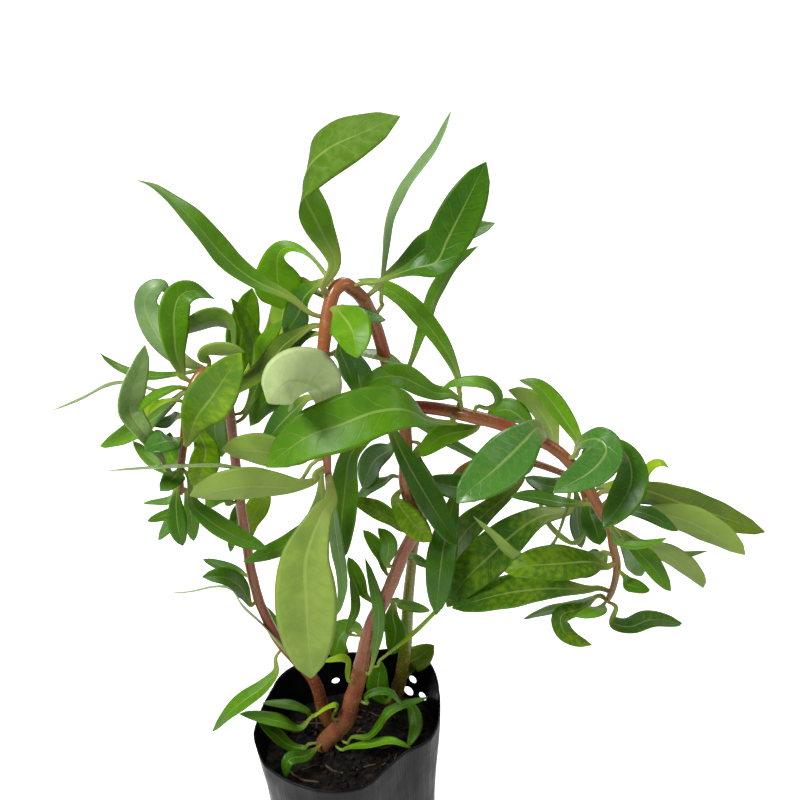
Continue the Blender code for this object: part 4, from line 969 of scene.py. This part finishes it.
def leaf_pattern():
    """Group that draws a leaf's two faces, midrib, side veins, blotches and stalk on its own map."""
    tree = bpy.data.node_groups.new("leaf_pattern", "ShaderNodeTree")
    for socket, kind in (
        ("Upper", "NodeSocketColor"), ("Blotch", "NodeSocketColor"), ("Under", "NodeSocketColor"),
        ("Blotches", "NodeSocketFloat"),
    ):
        tree.interface.new_socket(socket, in_out="INPUT", socket_type=kind)
    for socket, kind in (
        ("Colour", "NodeSocketColor"), ("Roughness", "NodeSocketFloat"), ("Height", "NodeSocketFloat"),
    ):
        tree.interface.new_socket(socket, in_out="OUTPUT", socket_type=kind)
    given = tree.nodes.new("NodeGroupInput").outputs
    u, v = around_and_along(tree)
    lower = math_node(tree, "GREATER_THAN", u, 0.5)
    folded = math_node(tree, "FRACT", times(tree, u, 2.0), 0.0)
    centred = math_node(tree, "SUBTRACT", folded, 0.5)
    across = times(tree, math_node(tree, "ABSOLUTE", centred), 2.0)
    stalk = ramp(tree, v, 0.36, 0.10)
    foot = ramp(tree, v, 0.12, 0.0)
    reach = ramp(tree, v, 0.15, 1.0, 0.11, 0.03)
    rib = ramp(tree, math_node(tree, "DIVIDE", across, reach), 1.0, 0.5)
    rib = times(tree, rib, ramp(tree, v, 1.0, 0.6, 0.35, 1.0))
    slant = times(tree, across, VEIN_SLANT)
    beat = math_node(tree, "SUBTRACT", times(tree, v, VEIN_COUNT), slant)
    wobble = times(tree, speckle(tree, 260.0, 2.0), 0.9)
    beat = math_node(tree, "FRACT", math_node(tree, "ADD", beat, wobble), 0.0)
    line = math_node(tree, "ABSOLUTE", math_node(tree, "SUBTRACT", beat, 0.5))
    vein = times(tree, ramp(tree, line, 0.07, 0.01), ramp(tree, across, 0.95, 0.5))
    vein = times(tree, vein, ramp(tree, v, 0.2, 0.4))
    tone = speckle(tree, 75.0, 2.0)
    cells = speckle(tree, 620.0, 3.0)
    spots = blend_values(tree, 0.45, cells, tone)
    spots = blend_values(tree, 0.08, spots, ramp(tree, line, 0.05, 0.30))
    spots = times(tree, ramp(tree, spots, 0.43, 0.68), given["Blotches"])
    spots = times(tree, spots, ramp(tree, across, 1.0, 0.7, 0.5, 1.0))
    colour = blend(tree, spots, given["Upper"], given["Blotch"])
    under = blend(tree, ramp(tree, cells, 0.35, 0.7, 0.0, 0.2), given["Under"], (0.24, 0.34, 0.08, 1))
    colour = blend(tree, lower, colour, under)
    colour = blend(tree, ramp(tree, tone, 0.55, 0.25, 0.0, 0.35), colour, (0.02, 0.07, 0.008, 1))
    colour = blend(tree, times(tree, vein, 0.13), colour, RIB_COLOUR)
    colour = blend(tree, times(tree, rib, 0.5), colour, RIB_COLOUR)
    colour = blend(tree, times(tree, stalk, 0.9), colour, STALK_COLOUR)
    colour = blend(tree, times(tree, foot, 0.7), colour, STALK_FOOT_COLOUR)
    rough = ramp(tree, cells, 0.3, 0.75, -0.06, 0.08)
    rough = math_node(tree, "ADD", rough, times(tree, lower, 0.14))
    height = times(tree, cells, 0.15)
    height = math_node(tree, "SUBTRACT", height, times(tree, vein, 0.3))
    height = math_node(tree, "SUBTRACT", height, times(tree, rib, 0.6))
    result = tree.nodes.new("NodeGroupOutput").inputs
    for socket, value in (("Colour", colour), ("Roughness", rough), ("Height", height)):
        tree.links.new(value, result[socket])
    return tree


pattern = leaf_pattern()
leaf_finishes = {}
for look, (upper, blotch, blotches, under, rough, shine) in LOOKS.items():
    finish, tree, shader = new_finish(f"leaf_{look}")
    drawn = tree.nodes.new("ShaderNodeGroup")
    drawn.node_tree = pattern
    drawn.inputs["Upper"].default_value = (*upper, 1)
    drawn.inputs["Blotch"].default_value = (*blotch, 1)
    drawn.inputs["Under"].default_value = (*under, 1)
    drawn.inputs["Blotches"].default_value = blotches
    tree.links.new(drawn.outputs["Colour"], shader.inputs["Base Color"])
    tree.links.new(math_node(tree, "ADD", drawn.outputs["Roughness"], rough), shader.inputs["Roughness"])
    shader.inputs["Specular IOR Level"].default_value = shine
    shader.inputs["Subsurface Weight"].default_value = 0.18
    shader.inputs["Subsurface Radius"].default_value = (0.6, 1.0, 0.15)
    shader.inputs["Subsurface Scale"].default_value = 0.9 * MM
    relief(tree, shader, drawn.outputs["Height"], 0.13 * MM, 0.6)
    leaf_finishes[look] = finish


def leaf_line(leaf, line, shares, thick):
    """Fine midrib of a leaf, which starts inside its stem."""
    index = joint_index(line, leaf)
    centre = line[index]
    ahead = (line[index + 1] - line[index - 1]).normalized()
    radius = along(thick, shares[index]) * MM / 2
    route_shares = shares_of([Vector(spot) for spot in leaf.route])
    stem_near = -centre.y / MM
    points = [
        place(*spot, stem_near + along(leaf.near, share))
        for spot, share in zip(leaf.route[1:], route_shares[1:])
    ]
    outward = points[0] - centre
    outward = (outward - ahead * outward.dot(ahead)).normalized()
    bend = centre + outward * (radius + STALK_STEP) + (points[0] - centre).normalized() * STALK_LEAN
    return smooth([centre + outward * radius * STALK_ROOT, bend, *points])


def leaf_width(share, widest):
    """Share of its full width that a leaf has at a share of its length. Its tip is rounded."""
    swell = math.sin(math.pi * share ** (math.log(0.5) / math.log(widest)))
    swell = max(swell, 0.0) ** (SWELL_BEFORE if share < widest else SWELL_AFTER)
    return STALK_SHARE + (1 - STALK_SHARE) * swell


def leaf_frames(midrib, roll):
    """Upper side of a leaf at even shares of its midrib: its stalk's follows its blade's."""
    points = evenly(midrib, FRAME_STEPS + 1)
    ups, heads = [], []
    for step, point in enumerate(points):
        ahead = points[min(step + 1, FRAME_STEPS)] - points[max(step - 1, 0)]
        ahead.normalize()
        toward = (EYE - point).normalized()
        flat = toward - ahead * toward.dot(ahead)
        turn = math.radians(along(roll, step / FRAME_STEPS))
        ups.append(flat * math.cos(turn) + ahead.cross(flat) * math.sin(turn))
        heads.append(ahead)
    for step in reversed(range(STALK_STEPS)):
        ups[step] = ups[step + 1] - heads[step] * ups[step + 1].dot(heads[step])
    for _ in range(FRAME_SMOOTHING):
        ups = [(a + 2 * b + c) / 4 for a, b, c in zip([ups[0], *ups], ups, [*ups[1:], ups[-1]])]
    return ups


def leaf_rings(leaf, midrib, sides, steps):
    """Rings of a leaf: upper face from edge to edge and back along the underside."""
    points = evenly(midrib, steps + 1)
    length = sum((b - a).length for a, b in zip(points, points[1:]))
    ups = leaf_frames(midrib, leaf.roll)
    phase = noise.noise(points[-1] * 300) * 9
    rings = []
    for index, point in enumerate(points):
        share = index / steps
        ahead = points[min(index + 1, steps)] - points[max(index - 1, 0)]
        ahead.normalize()
        up = along(ups, share)
        up = (up - ahead * up.dot(ahead)).normalized()
        side = ahead.cross(up)
        taper = min(1, math.sqrt(max(1 - share, 0) * TIP_ROUNDING))
        half = leaf.wide * MM / 2 * leaf_width(share, leaf.widest)
        half *= TIP_WIDTH + (1 - TIP_WIDTH) * taper
        blade = min(1, max(0, (share - BLADE_START) / BLADE_GROWTH))
        blade *= blade * (3 - 2 * blade)
        thick = STALK_THICKNESS * (1 - blade) + BLADE_THICKNESS * blade
        thick *= TIP_THICKNESS + (1 - TIP_THICKNESS) * taper
        ring = []
        for step in range(sides):
            turn = step / sides * 2
            lower = turn >= 1
            x = 1 - 2 * (turn - 1) if lower else 2 * turn - 1
            edge = abs(x) ** 2
            wave = math.sin(share * length / WAVE_LENGTH * math.tau + phase + (2 if x > 0 else 0))
            rise = half * (KEEL * abs(x) ** KEEL_CURVE + WAVE * wave * edge * blade)
            body = thick / 2 * math.sqrt(max(1 - x * x, 0.0))
            ridge = math.exp(-((x * half / RIB_WIDTH) ** 2)) * RIB_HEIGHT * blade * (1 - share)
            rise += -(body + ridge) if lower else body - ridge * RIB_SUNK
            ring.append(within(point + side * x * half + up * rise))
        rings.append(ring)
    return [[points[0]] * sides] + rings + [[within(midrib[-1])] * sides]


for name, stem in STEMS.items():
    line, shares = stem_lines[name]
    for number, leaf in enumerate(LEAVES[name], 1):
        bm = bmesh.new()
        midrib = leaf_line(leaf, line, shares, stem.thick)
        add_skin(bm, leaf_rings(leaf, midrib, LEAF_SIDES, LEAF_STEPS))
        blade = new_object(f"{name}_blade_{number:02d}", bm, [leaf_finishes[leaf.look]])
        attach(blade, "root")
        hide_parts(f"{name}_leaf_{number:02d}")
    looks = sorted({leaf.look for leaf in YOUNG_LEAVES[name]})
    bm = bmesh.new()
    for leaf in YOUNG_LEAVES[name]:
        midrib = leaf_line(leaf, line, shares, stem.thick)
        add_skin(bm, leaf_rings(leaf, midrib, YOUNG_SIDES, YOUNG_STEPS), looks.index(leaf.look))
    young = new_object(f"{name}_young_leaves", bm, [leaf_finishes[look] for look in looks])
    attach(young, "root")
    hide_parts(name)
